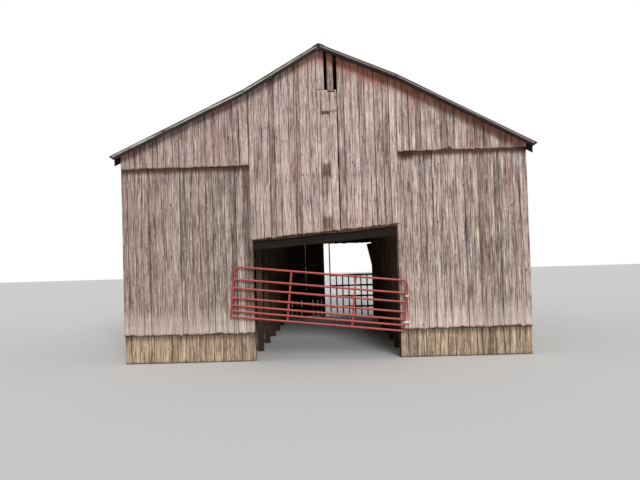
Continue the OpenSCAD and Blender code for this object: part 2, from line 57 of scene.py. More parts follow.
class Value:  # one socket of a finish; arithmetic on it adds Math nodes
    def __init__(self, finish, socket):
        self.finish = finish
        self.socket = socket

    def math(self, operation, *inputs, clamp=False):
        settings = {"operation": operation, "use_clamp": clamp}
        return self.finish.node("ShaderNodeMath", settings, dict(enumerate(inputs)))

    def __add__(self, other): return self.math("ADD", self, other)
    def __radd__(self, other): return self.math("ADD", other, self)
    def __sub__(self, other): return self.math("SUBTRACT", self, other)
    def __rsub__(self, other): return self.math("SUBTRACT", other, self)
    def __mul__(self, other): return self.math("MULTIPLY", self, other)
    def __rmul__(self, other): return self.math("MULTIPLY", other, self)
    def __truediv__(self, other): return self.math("DIVIDE", self, other)
    def __mod__(self, other): return self.math("FLOORED_MODULO", self, other)
    def __abs__(self): return self.math("ABSOLUTE", self)

    def clamped(self):
        return self.math("ADD", self, 0.0, clamp=True)

    def rise(self, low, high):  # 0 under low, 1 over high, smooth between; high may be the smaller
        return self.finish.node("ShaderNodeMapRange", {"interpolation_type": "SMOOTHSTEP"},
                                {"Value": self, "From Min": low, "From Max": high})

    def max(self, other): return self.math("MAXIMUM", self, other)


class Finish:  # a material with a Principled shader, and short ways to its nodes
    def __init__(self, name, **constants):
        self.material = bpy.data.materials.new(name)
        self.material.use_nodes = True
        self.tree = self.material.node_tree
        self.shader = self.tree.nodes["Principled BSDF"]
        for socket, value in constants.items():
            self.shader.inputs[socket.replace("_", " ")].default_value = value
        self.place = self.node("ShaderNodeTexCoord", {}, {}, "Object")
        self.colour = None

    def node(self, kind, settings, inputs, output=0):
        made = self.tree.nodes.new(kind)
        for key, value in settings.items():
            setattr(made, key, value)
        for key, value in inputs.items():
            if isinstance(value, Value):
                self.tree.links.new(value.socket, made.inputs[key])
            else:
                made.inputs[key].default_value = value
        return Value(self, made.outputs[output])

    def attribute(self, name):
        return self.node("ShaderNodeAttribute", {"attribute_name": name}, {}, "Vector")

    def split(self, vector):
        parts = self.node("ShaderNodeSeparateXYZ", {}, {0: vector}).socket.node.outputs
        return [Value(self, part) for part in parts]

    def scaled(self, vector, x, y, z):
        return self.node("ShaderNodeVectorMath", {"operation": "MULTIPLY"}, {0: vector, 1: (x, y, z)})

    def noise(self, vector, scale, detail=3.0, rough=0.55, twist=0.0):  # scale: one number, or one for each axis
        if isinstance(scale, tuple):
            vector, scale = self.scaled(vector, *scale), 1.0
        return self.node("ShaderNodeTexNoise", {}, {
            "Vector": vector, "Scale": scale, "Detail": detail, "Roughness": rough, "Distortion": twist})

    def mix(self, amount, first, second, blend="MIX"):
        settings = {"data_type": "RGBA", "blend_type": blend, "clamp_factor": True}
        return self.node("ShaderNodeMix", settings, {0: amount, 6: first, 7: second}, 2)

    def coat(self, amount, tone, blend="MIX"):  # lays a tone over the colour so far
        self.colour = self.mix(amount, self.colour, tone, blend)

    def done(self, height, strength, distance, **links):
        # the colour, a bump of the given height and the named links go into the shader
        bump = self.node("ShaderNodeBump", {}, {
            "Height": height, "Strength": strength, "Distance": distance}, "Normal")
        for socket, value in {"Base Color": self.colour, "Normal": bump, **links}.items():
            self.tree.links.new(value.socket, self.shader.inputs[socket.replace("_", " ")])
        return self.material


def withTones(table, names, common={}):
    # the rows of 0 to 255 under "tones" become shader colours under these names
    return {key: {**common, **row, **{name: srgb(*rgb) for name, rgb in zip(names, row["tones"])}}
            for key, row in table.items()}


# materials: wood

stainTone, seamGrimeShadeTone, weepTone = srgb(128, 98, 88), srgb(74, 50, 42), srgb(92, 66, 56)
girtStep, girtShift = 1.1833, 0.045  # the wall girts' spacing, and where the count of heights starts
woodTones = ("light", "pale", "mid", "dark", "pink", "cool", "paint", "paintDark", "foot", "inside")
woodCommon = {
    "paintShare": 0.0, "paintReach": (0.24, 0.36, 0.40), "leftShade": 0.0, "lowerEdgeShade": 0.0, "cracks": (),
    "stains": (), "bleach": (0.7, 0.0), "seamGrimeAndShade": 0.0, "strip": None, "edges": 0.42}
wallWood = {  # tones in the order of woodTones
    "frontBoards": {
        "tones": ((240, 224, 215), (210, 187, 178), (162, 139, 131), (84, 60, 54), (192, 152, 142),
                  (160, 150, 154), (204, 126, 102), (150, 88, 72), (164, 144, 128), (56, 42, 34)),
        "paintShare": 1.0, "leftShade": 0.22, "edges": 0.55,
        "cracks": (  # long dark gaps and checks: x and z of the head, x and z of the foot, half width
            (-0.60, 5.16, -0.66, 3.10, 0.013), (-0.34, 4.28, -0.23, 3.08, 0.009),
            (0.58, 5.54, 0.54, 4.38, 0.008), (-0.79, 6.10, -0.84, 4.82, 0.010), (-0.30, 7.05, -0.36, 5.40, 0.009),
            (-1.13, 5.86, -1.18, 4.82, 0.009), (-1.30, 6.00, -1.37, 4.31, 0.008), (-0.97, 4.68, -1.03, 3.15, 0.010),
            (1.55, 6.56, 1.53, 6.11, 0.009), (0.97, 6.25, 0.95, 5.64, 0.008), (0.91, 3.42, 0.905, 3.26, 0.016),
            (1.225, 3.43, 1.22, 3.30, 0.012), (1.565, 3.54, 1.56, 3.36, 0.018),
            (-2.045, 6.30, -2.03, 4.86, 0.020), (2.155, 6.52, 2.15, 4.92, 0.018),
            (1.985, 5.98, 1.957, 5.05, 0.010), (4.045, 5.56, 4.025, 5.0, 0.010)),
        "stains": (  # dark weather marks: x, z, half width, half height, strength
            (0.106, 4.65, 0.11, 0.17, 0.85), (0.106, 4.30, 0.08, 0.28, 0.45), (0.11, 3.30, 0.13, 0.20, 0.75),
            # the last stain is painted shadow under the patch's foot
            (0.12, 6.06, 0.12, 0.045, 0.9))},
    "lowerBoards": {
        "tones": ((236, 218, 206), (196, 176, 164), (146, 127, 118), (66, 49, 43), (178, 142, 131),
                  (148, 140, 144), (112, 72, 62), (76, 50, 44), (170, 152, 136), (54, 41, 33)),
        "paintShare": 0.9, "leftShade": 0.22, "paintReach": (0.10, 0.14, 0.18), "bleach": (0.75, 0.45),
        "seamGrimeAndShade": 0.95,
        "cracks": ((3.187, 4.40, 3.198, 3.34, 0.014), (3.617, 4.70, 3.651, 3.70, 0.013),
                   (4.772, 4.34, 4.862, 2.24, 0.014), (4.864, 2.22, 4.87, 1.11, 0.013)),
        "stains": ((2.08, 4.98, 0.20, 0.16, 0.7), (2.62, 4.95, 0.10, 0.13, 0.6))},
    "rearBoards": {
        "tones": ((208, 194, 184), (180, 166, 157), (148, 133, 125), (78, 64, 58), (160, 130, 120),
                  (138, 132, 134), (154, 88, 72), (110, 62, 52), (140, 126, 106), (52, 40, 32)),
        "paintShare": 0.8, "bleach": (0.6, 0.25), "edges": 0.8},
    "sideBoards": {
        "tones": ((210, 193, 182), (182, 164, 155), (150, 132, 123), (78, 62, 56), (166, 130, 119),
                  (140, 132, 134), (156, 84, 68), (110, 60, 50), (144, 128, 108), (52, 40, 32)),
        "paintShare": 0.9, "bleach": (0.6, 0.25), "edges": 0.8},
    "skirtBoards": {
        "tones": ((230, 208, 180), (190, 166, 140), (148, 126, 105), (66, 50, 41), (174, 142, 121),
                  (138, 130, 115), (150, 110, 90), (104, 84, 66), (120, 103, 80), (52, 41, 32)),
        "seamGrimeAndShade": 0.6},
    # the front's tones at a little over half their brightness: painted shade of the leaf inside the barn
    "doorBoardsShaded": {
        "tones": ((140, 124, 112), (116, 102, 92), (90, 76, 67), (46, 36, 31), (104, 78, 70),
                  (92, 86, 84), (120, 66, 56), (84, 48, 42), (84, 72, 58), (46, 36, 29)),
        "paintShare": 0.3},
    "fenceBoards": {
        "tones": ((176, 164, 144), (150, 138, 118), (120, 108, 91), (68, 56, 47), (134, 114, 98),
                  (118, 114, 106), (140, 100, 84), (96, 72, 60), (100, 88, 70), (110, 98, 82))},
    "ledgerWood": {
        "tones": ((134, 98, 74), (88, 61, 45), (58, 40, 31), (24, 17, 13), (78, 46, 36),
                  (52, 42, 37), (92, 52, 42), (60, 36, 30), (62, 45, 33), (40, 30, 24))},
    # near black: painted shade of the beams in the doorway's head
    "headerWoodShaded": {
        "tones": ((52, 41, 32), (38, 29, 22), (26, 20, 15), (12, 9, 7), (34, 24, 18),
                  (26, 22, 19), (70, 42, 35), (46, 28, 24), (44, 34, 27), (38, 29, 24))},
    "vergeGrey": {
        "tones": ((226, 220, 208), (200, 194, 182), (166, 160, 150), (20, 17, 18), (180, 168, 158),
                  (166, 166, 166), (140, 100, 90), (100, 76, 70), (112, 104, 98), (50, 43, 40)),
        "lowerEdgeShade": 0.95},
    # near black tones: painted shade on the right verge
    "vergeDark": {
        "tones": ((46, 38, 42), (30, 25, 29), (21, 17, 21), (11, 9, 11), (34, 23, 25),
                  (27, 26, 33), (84, 50, 44), (56, 36, 34), (46, 38, 38), (34, 28, 28)),
        "strip": srgb(148, 128, 124)},
}
wallWood = withTones(wallWood, woodTones, woodCommon)


def boardFinish(name):
    # reads three vectors that every board carries: place = (across, height, shift) in metres,
    # board = (tone, tint, side of the width -1..1), ends = (from top, from foot, inner face 0..1)
    tone = wallWood[name]
    light, dark, inside = tone["light"], tone["dark"], tone["inside"]
    f = Finish(name, Roughness=0.86, Specular_IOR_Level=0.25)
    place = f.attribute("place")
    shade, tint, side = f.split(f.attribute("board"))
    fromTop, fromFoot, inner = f.split(f.attribute("ends"))
    placeX, placeZ = f.split(f.place)[::2]

    streak = f.noise(place, (27, 1.15, 9), 5, 0.74, 0.2)
    vein = f.noise(place, (70, 3.0, 9), 3, 0.66, 0.2)
    grain = f.noise(place, (150, 3.0, 9), 3, 0.62, 0.25)
    fibre = f.noise(place, (430, 5.5, 9), 2, 0.6)
    weather = f.noise(place, (5.0, 0.7, 3), 3, 0.6, 0.4)
    stain = f.noise(f.place, (0.9, 0.9, 0.6), 3, 0.55)
    blotch = f.noise(place, (12, 3.4, 7), 4, 0.65, 0.6)
    fleck = f.noise(place, (24, 6.5, 7), 3, 0.66, 0.3)
    hue = f.noise(place, (10, 0.8, 5), 3, 0.6)
    uneven = streak - 0.5  # moves the edges of stains and paint along the grain

    # old wood: broad tones, then the dark and pale lines of the grain as mask, its rise, amount and tone
    f.colour = f.mix((shade + weather - 0.54).clamped(), tone["mid"], tone["pale"])
    f.coat((tint * 0.7 + stain * 0.7 + hue * 0.9 - 1.05).clamped(), tone["pink"])
    for mask, low, high, amount, over in (
            (hue, 0.50, 0.34, 0.6, tone["cool"]), (streak, 0.50, 0.36, 0.9, dark), (streak, 0.52, 0.64, 0.9, light),
            (vein, 0.49, 0.30, 0.60, dark), (vein, 0.55, 0.72, 0.50, light), (fleck, 0.45, 0.29, 0.42, dark),
            (fleck, 0.55, 0.70, 0.42, light), (grain, 0.50, 0.28, 0.45, dark), (fibre, 0.46, 0.26, 0.35, dark),
            (blotch, 0.58, 0.76, 0.55, dark), (1 - shade, 0.70, 1.0, 0.38, dark),
            # darker towards the left: painted shade
            (placeX, 1.5, -4.5, tone["leftShade"], dark)):
        f.coat(mask.rise(low, high) * amount, over)
    bleached = fromFoot.rise(tone["bleach"][0], 0.10) * (0.4 + 0.9 * streak) * tone["bleach"][1]
    f.coat(bleached.clamped(), light)
    # under a seam: a band of grime and painted shade, and right under the lap a darker painted shadow
    f.coat((fromTop + uneven * 0.16 + (vein - 0.5) * 0.08).rise(0.20, 0.06) * tone["seamGrimeAndShade"], seamGrimeShadeTone)
    f.coat((fromTop + uneven * 0.06).rise(0.055, 0.015) * tone["seamGrimeAndShade"], inside)
    # the lower part of the board painted dark: painted shade in place of the shaded underside of the roof's edge
    if tone["lowerEdgeShade"]:
        f.coat(weather.rise(0.50, 0.40) * 0.5, tone["foot"])
        f.coat((side + uneven * 0.5).rise(0.42, 0.15) * tone["lowerEdgeShade"], dark)
    if tone["strip"]:  # the upper edge stays pale; the rest of this board is painted near black as shade
        f.coat((side + uneven * 0.5).rise(0.22, 0.45) * 0.85, tone["strip"])

    # paint that lasted under the roof edge, board by board, worn through along the grain
    base, byTint, byStain = tone["paintReach"]
    reach = (base + byTint * tint + byStain * stain) * (0.34 + 0.66 * placeX.rise(-1.2, 0.5)) \
        * (1 - 0.55 * placeX.rise(2.0, 3.0))
    kept = (1.05 - fromTop / reach).clamped()
    worn = uneven * 2.2 + (vein - 0.5) * 1.8 + (fleck - 0.5) * 1.4
    here = placeX.rise(-0.25, 0.22).max((tint * 0.5 + stain).rise(0.66, 0.86) * 0.6)
    paint = (kept * 1.15 + worn).rise(0.40, 0.95) * kept.rise(0.0, 0.25) * (0.15 + 0.85 * here)
    washed = (hue + tint * 0.25 + uneven).rise(0.70, 0.98) * 0.18
    paintTone = f.mix(blotch.rise(0.35, 0.65), tone["paint"], tone["paintDark"])
    f.coat((paint.max(washed) * tone["paintShare"]).clamped() * 0.85, paintTone)

    # cracks: distance from a leaning line, cut off above its head and below its foot
    for headX, headZ, footX, footZ, half in tone["cracks"]:
        lean = (headX - footX) / (headZ - footZ)
        aside = abs(placeX - footX - (placeZ - footZ) * lean)
        along = placeZ.rise(footZ - 0.03, footZ + 0.08) * placeZ.rise(headZ + 0.03, headZ - 0.20)
        f.coat(aside.rise(half * 1.2, half * 0.45) * along * (0.55 + 0.5 * weather), inside)
    for x, z, halfX, halfZ, strength in tone["stains"]:
        away = (abs(placeX - x) / halfX).max(abs(placeZ - z) / halfZ) + uneven * 1.6 + (blotch - 0.5) * 1.2
        f.coat(away.rise(1.25, 0.62) * strength, stainTone, "MULTIPLY")

    # knots: dark eyes, longer than wide
    knots = f.node("ShaderNodeTexVoronoi", {"feature": "F1"}, {
        "Vector": f.scaled(place, 4.6, 1.9, 3), "Scale": 1.0, "Randomness": 1.0}, "Distance").rise(0.10, 0.05)
    f.coat(knots * 0.75, dark)

    # nails weep rust at the girts' heights, a little in from both edges of a board
    girt = (placeZ - girtShift) % girtStep
    weep = girt.rise(0.72, 0.96) * girt.rise(0.985, 0.975)
    nailed = (abs(abs(side) - 0.55)).rise(0.16, 0.05)
    f.coat(weep * nailed * (0.15 + 0.5 * grain), weepTone)

    # edges hold a little dirt, feet are damp, inner faces are brown and darkened as painted shade of the dark inside
    f.coat(abs(side).rise(0.90, 1.0) * tone["edges"], dark)
    f.coat(fromFoot.rise(0.10, 0.0) * (0.2 + 0.5 * blotch), tone["foot"])
    f.coat((fromFoot + (fibre - 0.5) * 0.06).rise(0.035, 0.0) * 0.6, dark)
    f.coat(inner * 0.9, inside)
    return f.done(streak * 0.5 + vein * 0.5 + grain * 0.5 + fibre * 0.4 - knots * 0.5, 0.8, 0.005,
                  Roughness=0.80 + 0.14 * grain)


boardFinishes = {name: boardFinish(name) for name in wallWood}
print("stage: wood finishes")

# boards


def addMesh(name, node, points, faces, vectors, material):
    # one closed mesh at the origin, riding on the barn; vectors are named lists of three numbers for each point;
    # node is the solid that it stands for, or None
    points = points.reshape(-1, 3)
    mesh = bpy.data.meshes.new(name)
    mesh.vertices.add(len(points))
    mesh.vertices.foreach_set("co", points.astype(np.float32).ravel())
    corners = np.concatenate([f.ravel() for f in faces]).astype(np.int32)
    sizes = np.concatenate([np.full(len(f), f.shape[1]) for f in faces]).astype(np.int32)
    starts = np.concatenate([[0], np.cumsum(sizes)[:-1]]).astype(np.int32)
    mesh.loops.add(len(corners))
    mesh.loops.foreach_set("vertex_index", corners)
    mesh.polygons.add(len(sizes))
    mesh.polygons.foreach_set("loop_start", starts)
    mesh.polygons.foreach_set("loop_total", sizes)
    for key, values in vectors.items():
        layer = mesh.attributes.new(key, "FLOAT_VECTOR", "POINT")
        layer.data.foreach_set("vector", values.astype(np.float32).ravel())
    mesh.update()
    mesh.validate()
    made = bpy.data.objects.new(name, mesh)
    scene.collection.objects.link(made)
    mesh.materials.append(material)
    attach(made, "barn")
    if node:
        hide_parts(node)


def tubes(count, rings, section):
    # faces of closed tubes, each with rings times section points: their sides, first ends and last ends
    first = (np.arange(count) * rings * section)[:, None, None]
    r = np.arange(rings - 1)[None, :, None] * section
    p = np.arange(section)[None, None, :]
    q = (p + 1) % section
    corners = (first + r + p, first + r + q, first + r + section + q, first + r + section + p)
    sides = np.stack(np.broadcast_arrays(*corners), -1).reshape(-1, 4)
    return [sides, first[:, 0] + np.arange(section)[::-1], first[:, 0] + (rings - 1) * section + np.arange(section)]


def carried(like, **vectors):  # named threes, each part of a three spread over the grid of like
    return {key: np.stack([np.broadcast_to(part, like.shape) for part in three], -1)
            for key, three in vectors.items()}


# section of a board: place across (-1..1), place through (0 outer .. 1 inner), chamfer signs
sectionU = np.array([-1, -0.62, -0.2, 0.24, 0.66, 1, 1, 1, 0.45, -0.4, -1, -1])
sectionV = np.array([0, 0, 0, 0, 0, 0, 0, 1, 1, 1, 1, 0])
sectionCu = np.array([1, 0, 0, 0, 0, -1, 0, 0, 0, 0, 0, 0])
sectionCv = np.array([0, 0, 0, 0, 0, 0, 1, 0, 0, 0, 0, 1])
ringPlaces = np.array([0, 0.006, 0.12, 0.27, 0.42, 0.55, 0.69, 0.84, 0.994, 1.0])
wayAxes = {  # for a wall: across, up, and the way that its outer face looks
    "front": ((1, 0, 0), (0, 0, 1), (0, -1, 0)), "rear": ((1, 0, 0), (0, 0, 1), (0, 1, 0)),
    "left": ((0, 1, 0), (0, 0, 1), (-1, 0, 0)), "right": ((0, 1, 0), (0, 0, 1), (1, 0, 0)),
}
boardShape = {  # spreads in metres; the last line has parts of the ragged foot as shares of ragged
    "chamfer": 0.0022, "bow": 0.0009, "cup": 0.0018, "turn": 0.0012, "sag": 0.002, "slack": 0.006,
    "nailRow": 0.012, "nailOut": 0.55, "nailStray": 0.05,  # of the nails: up and down, then shares of half a board
    "jag": 0.55, "slant": 0.6, "teeth": 0.55, "most": 2.2,
}
nailSpots = {}  # by the boards' name: the nails' places, the way they face, their slot


def boards(name, node, slotName, seed, left, right, bottom, top, face, thick, way="front", ragged=0.012,
           edgeWear=0.0016, material="frontBoards", wobble=0.003, rakeTop=None, nailRows=(), axes=None,
           origin=(0, 0, 0)):
    # board b, ring s, section point p:
    #   across = middle + u * half width, bowed by sin(pi s) and narrowed at random;
    #   up = foot(across) + s * (head(across) - foot(across)), with a ragged foot;
    #   through = outer face + v * thickness, cupped by u squared and twisted along s.
    # bottom and top are functions of the place across, so a rake cuts every board on its slant.
    # way names the side that the outer face looks to, or axes gives across, up and outward.
    rng = np.random.default_rng(seed)
    count, chamfer = len(left), boardShape["chamfer"]
    left, right = np.asarray(left, float), np.asarray(right, float)
    half = ((right - left) / 2)[:, None, None]
    middle = ((right + left) / 2)[:, None, None]
    s = ringPlaces[None, :, None]
    u, v = sectionU[None, None, :], sectionV[None, None, :]
    thick = np.broadcast_to(np.asarray(thick, float), (count,))[:, None, None]

    def draw(scale, shape=(count, 1, 1)):
        return rng.normal(0, scale, shape)

    tone, tint = rng.random((count, 1, 1)), rng.random((count, 1, 1))
    wear = draw(edgeWear, (count, len(ringPlaces), 2))
    edge = np.where(u > 0, wear[..., :1], wear[..., 1:])
    across = middle + u * half + chamfer * sectionCu - u * np.abs(edge)
    across = across + draw(boardShape["bow"]) * np.sin(np.pi * s)
    jag = ragged * (draw(boardShape["jag"]) + boardShape["slant"] * u * draw(1))
    teeth = ragged * boardShape["teeth"] * draw(1, (count, 1, 6))
    teeth = np.concatenate([teeth, teeth[..., [5, 5, 4, 1, 0, 0]]], 2)
    most = boardShape["most"] * ragged
    foot = bottom(across) + np.clip(jag + teeth, -most, most)
    crown = top(across)
    up = foot + s * (crown - foot)
    cup, stand = np.abs(draw(boardShape["cup"])), np.abs(draw(wobble))
    turn, sag = draw(boardShape["turn"]), draw(boardShape["sag"])

    def throughAt(u, v, s):
        deep = cup * (1 - u * u) + stand * (1 - v * 0.2) + u * turn * (s - 0.5) + sag * np.sin(np.pi * s)
        return np.clip(v * thick + deep, 0.0, thick + boardShape["slack"])

    through = throughAt(u, v, s) + chamfer * sectionCv * 0.9
    across, up, through = np.broadcast_arrays(across, up, through)
    acrossAxis, upAxis, outAxis, start = (np.atleast_2d(np.asarray(a, float))[:, None, None]
                                          for a in (*(axes or wayAxes[way]), origin))
    start = start + outAxis * np.abs(face)

    def spot(across, up, through):
        return start + across[..., None] * acrossAxis + up[..., None] * upAxis - through[..., None] * outAxis

    points = spot(across, up, through)
    faces = tubes(count, len(ringPlaces), len(sectionU))
    outward = outAxis[0, 0, 0]
    if np.dot(np.cross(upAxis[0, 0, 0], outward), acrossAxis[0, 0, 0]) < 0:
        faces = [f[:, ::-1] for f in faces]

    shift = rng.random((count, 1, 1)) * 40
    vectors = carried(up, place=(across + shift, up + shift * 3, shift), board=(tone, tint, u),
                      ends=((rakeTop or top)(across) - up, up - foot, v))
    if len(nailRows):
        rows = np.asarray(nailRows, float)[None, :, None] + draw(boardShape["nailRow"], (count, len(nailRows), 2))
        nailU = np.array([-1, 1])[None, None, :] * boardShape["nailOut"] + draw(boardShape["nailStray"], rows.shape)
        at = middle + nailU * half
        low, high = bottom(at), top(at)
        s = (rows - low) / np.maximum(high - low, 0.01)
        kept = (s > 0.01) & (s < 0.995)
        nailSpots[name] = spot(at, rows, throughAt(nailU, 0.0, s))[kept], outward, slotName
    addMesh(name, node, points, faces, vectors, boardFinishes[material])


def planks(name, node, slotName, seed, runs, material, **more):
    # planks between two points: runs lists (start, end, the way the face looks, width, thickness)
    start, end, out = (np.array([r[i] for r in runs], float) for i in range(3))
    width, thick = (np.array([r[i] for r in runs], float) for i in (3, 4))
    length = np.linalg.norm(end - start, axis=1)
    along = (end - start) / length[:, None]
    out = out / np.linalg.norm(out, axis=1)[:, None]
    acrossAxis = np.cross(along, out)
    if acrossAxis[0, 2] < -0.01:
        acrossAxis = -acrossAxis
    heads = length[:, None, None]
    boards(name, node, slotName, seed, -width / 2, width / 2, lambda x: x * 0, lambda x: x * 0 + heads, 0.0, thick,
           axes=(acrossAxis, along, out), origin=start, material=material,
           **{"ragged": 0.002, "wobble": 0.0008, **more})


def layBoards(rng, spans, width=(0.11, 0.22), gap=(0.0008, 0.0022), wide=(0.005, 0.010), openShare=0.25):
    # splits every span into boards of random width; most gaps are tight, a share of them are open
    left, right = [], []
    for a, b in spans:
        count = max(1, round((b - a) / np.mean(width)))
        share = rng.uniform(*width, count)
        edges = a + np.concatenate([[0], np.cumsum(share)]) * (b - a) / share.sum()
        opened = rng.random(count + 1) < openShare
        space = np.where(opened, rng.uniform(*wide, count + 1), rng.uniform(*gap, count + 1)) / 2
        left.append(edges[:-1] + space[:-1])
        right.append(edges[1:] - space[1:])
    return np.concatenate(left), np.concatenate(right)


def span(box, axis=0, gap=0.001):  # a box's length along an axis, less a gap at both ends
    return box[0][axis] + gap, box[1][axis] - gap


def flatLine(height):
    return lambda across: np.full_like(across, height)


# the barn's own sizes, read from its solids

gable, lowerLeft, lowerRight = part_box("front_gable"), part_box("front_wall_left"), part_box("front_wall_right")
wingLeft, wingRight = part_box("front_wing_left"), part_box("front_wing_right")
rear, rearLeft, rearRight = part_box("rear_gable"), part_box("rear_wall_left"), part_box("rear_wall_right")
sideWall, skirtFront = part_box("side_wall_right"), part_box("front_skirts")
halfWide = wingRight[1][0]
ridge = gable[1][2]
pitchAngle = math.radians(26.5)
pitch = math.tan(pitchAngle)
roofLine = {"knee": 1.85, "left": -0.130, "right": 0.120}  # how far the purlins stand off a straight slope
knee = roofLine["knee"]
thick = gable[1][1] - gable[0][1]
lap = 0.09  # of the upper boards over the lower ones
doorSlant = math.tan(math.radians(4.5))
doorHead = gable[0][2] - gable[0][0] * doorSlant
rafterDrop, rafterGap, sheetGap = 0.1564, 0.004, 0.006


def rake(across):  # the rafters' top edge: falls from the ridge at the roof's pitch, with a knee over each purlin
    far = np.abs(across)
    off = np.where(np.asarray(across) < 0, roofLine["left"], roofLine["right"])
    return ridge - far * pitch + off * np.minimum(far / knee, (halfWide - far) / (halfWide - knee))


def rakeLine(across):  # heads of the boards that end under the roof
    return rake(across) - sheetGap


def doorLine(across):  # feet of the boards over the doorway
    return doorHead + across * doorSlant


def seamLine(seam):  # heads at a seam, or under the rafters where they come lower
    return lambda across: np.minimum(seam, rake(across) - rafterDrop - rafterGap)


girtRows = np.array([0.35, 1.025, 2.208, 3.392, 4.575])  # nails go into the girts' middles
gableRows = np.array([5.21, 6.18])
print("stage: barn sizes", [round(v, 4) for v in (halfWide, ridge, thick, doorHead)])

# front wall

frontWall = {
    "slots": ((0.110, 0.180), (0.335, 0.420)), "slotFoot": ridge - 1.020, "seed": 11,
    "leftOfSlots": -0.088, "column": (0.0, 0.212, 0.402),  # edges of the two boards under the slots
    "patch": (0.005, 0.408, 6.085, 6.565), "patchThick": 0.018, "cleat": (0.19, 0.355, 0.034),
    "cleatThick": 0.030, "broken": (3.125, 0.06, 0.07),  # broken: middle, half width and height of the missing piece
}
(slotA, slotB), slotFoot = frontWall["slots"], frontWall["slotFoot"]
edge, (columnA, columnB, columnC) = frontWall["leftOfSlots"], frontWall["column"]
frontY = gable[0][1]
left, right = layBoards(np.random.default_rng(frontWall["seed"]), (
    (gable[0][0] + 0.002, edge - 0.002), (slotB[1], gable[1][0] - 0.002)))
boards("front_gable_boards", "front_gable", "front_boards", 21, left, right, doorLine, rakeLine, frontY, thick,
       ragged=0.014, nailRows=(3.19, girtRows[-1], *gableRows))
shortBoards = (  # around the slots: left, right, foot, head; None is the doorway's or the rake's line
    (edge, slotA[0] - 0.001, slotFoot + 0.003, None),
    (edge, columnA - 0.002, None, slotFoot - 0.002),
    (columnA, columnB, None, slotFoot),
    (columnB + 0.002, columnC, None, slotFoot),
    (slotA[1], slotB[0], slotFoot + 0.004, None),
)
for i, (a, b, low, high) in enumerate(shortBoards):
    boards("front_gable_short_%d" % (i + 1), "front_gable", "front_boards", 40 + i, [a], [b],
           doorLine if low is None else flatLine(low), rakeLine if high is None else flatLine(high),
           frontY, thick, ragged=0.012 if low is None else 0.004, rakeTop=rake)
patchLeft, patchRight, patchFoot, patchHead = frontWall["patch"]
boards("front_gable_patch", "front_gable", "front_boards", 47, [patchLeft, columnB + 0.022],
       [columnB + 0.018, patchRight], flatLine(patchFoot), flatLine(patchHead), frontY - frontWall["patchThick"],
       frontWall["patchThick"], ragged=0.008, rakeTop=flatLine(9.0), nailRows=(patchFoot + 0.05, patchHead - 0.05))
cleatLeft, cleatRight, cleatDeep = frontWall["cleat"]
cleatY, z = frontY - frontWall["cleatThick"], patchHead + cleatDeep / 2
planks("front_gable_cleat", "front_gable", "front_boards", 48, [
    ((cleatLeft, cleatY, z), (cleatRight, cleatY, z), (0, -1, 0), cleatDeep, frontWall["cleatThick"])], "ledgerWood")


def wingFoot(low):  # level, but for a piece that broke out of the right wing's foot
    middle, half, high = frontWall["broken"]
    return lambda across: low + high * (np.abs(across - middle) < half)


def wall(name, node, slotName, seed, spans, foot, head, face, lay={}, **more):
    left, right = layBoards(np.random.default_rng(seed), spans, **lay)
    boards(name, node, slotName, seed, left, right, foot, head, face, thick, **more)


for way, box, joint, seed in (("left", wingLeft, -2.04, 51), ("right", wingRight, 2.15, 52)):
    (x0, x1), low = span(box, gap=0.002), box[0][2]
    wall("front_wing_boards_" + way, "front_wing_" + way, "front_boards", seed, ((x0, joint), (joint, x1)),
         wingFoot(low), rakeLine, frontY, ragged=0.010, nailRows=(low + 0.05, *gableRows))
for way, box, seed in (("left", lowerLeft, 61), ("right", lowerRight, 62)):
    wall("front_wall_boards_" + way, "front_wall_" + way, "front_boards", seed, (span(box),), flatLine(box[0][2]),
         seamLine(box[1][2]), box[0][1], ragged=0.016, material="lowerBoards", rakeTop=flatLine(box[1][2] - lap),
         nailRows=girtRows[1:])
print("stage: front wall")

# rear wall, sides, skirts

closed = (-0.0030, -0.0015)  # boards that press on each other: no light between them
doorwayLeft, doorwayRight, rearHead = rearLeft[1][0], rearRight[0][0], 3.11


def rearFoot(across):  # the rear gable's feet: at the seam, and over the doorway at its head
    middle = across.mean(axis=(1, 2), keepdims=True) + 0 * across
    inDoor = (middle > doorwayLeft) & (middle < doorwayRight)
    return np.where(inDoor, rearHead, rearLeft[1][2] - lap)


x0, x1 = span(rear)
wall("rear_gable_boards", "rear_gable", "rear_boards", 71,
     ((x0, doorwayLeft), (doorwayLeft, doorwayRight), (doorwayRight, x1)), rearFoot, rakeLine, rear[1][1],
     way="rear", material="rearBoards", nailRows=(girtRows[-1], *gableRows))
for way, box, seed in (("left", rearLeft, 72), ("right", rearRight, 73)):
    wall("rear_wall_boards_" + way, "rear_wall_" + way, "rear_boards", seed, (span(box),), flatLine(box[0][2]),
         seamLine(box[1][2]), box[1][1], {"gap": closed, "wide": (0.0004, 0.0012), "openShare": 0.14},
         way="rear", material="rearBoards", rakeTop=rake, edgeWear=0.0007, nailRows=girtRows[1:])
for way, face, seed in (("left", -halfWide, 81), ("right", halfWide, 82)):
    wall("side_boards_" + way, "side_wall_" + way, "side_boards", seed, (span(sideWall, 1),), flatLine(sideWall[0][2]),
         flatLine(sideWall[1][2]), face, {"gap": closed, "wide": (0.003, 0.006), "openShare": 0.10}, way=way,
         material="sideBoards", edgeWear=0.0007, nailRows=girtRows[1:])
skirtLeft, skirtRight = span(skirtFront)
rearSkirts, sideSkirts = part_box("rear_skirts"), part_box("side_skirts")
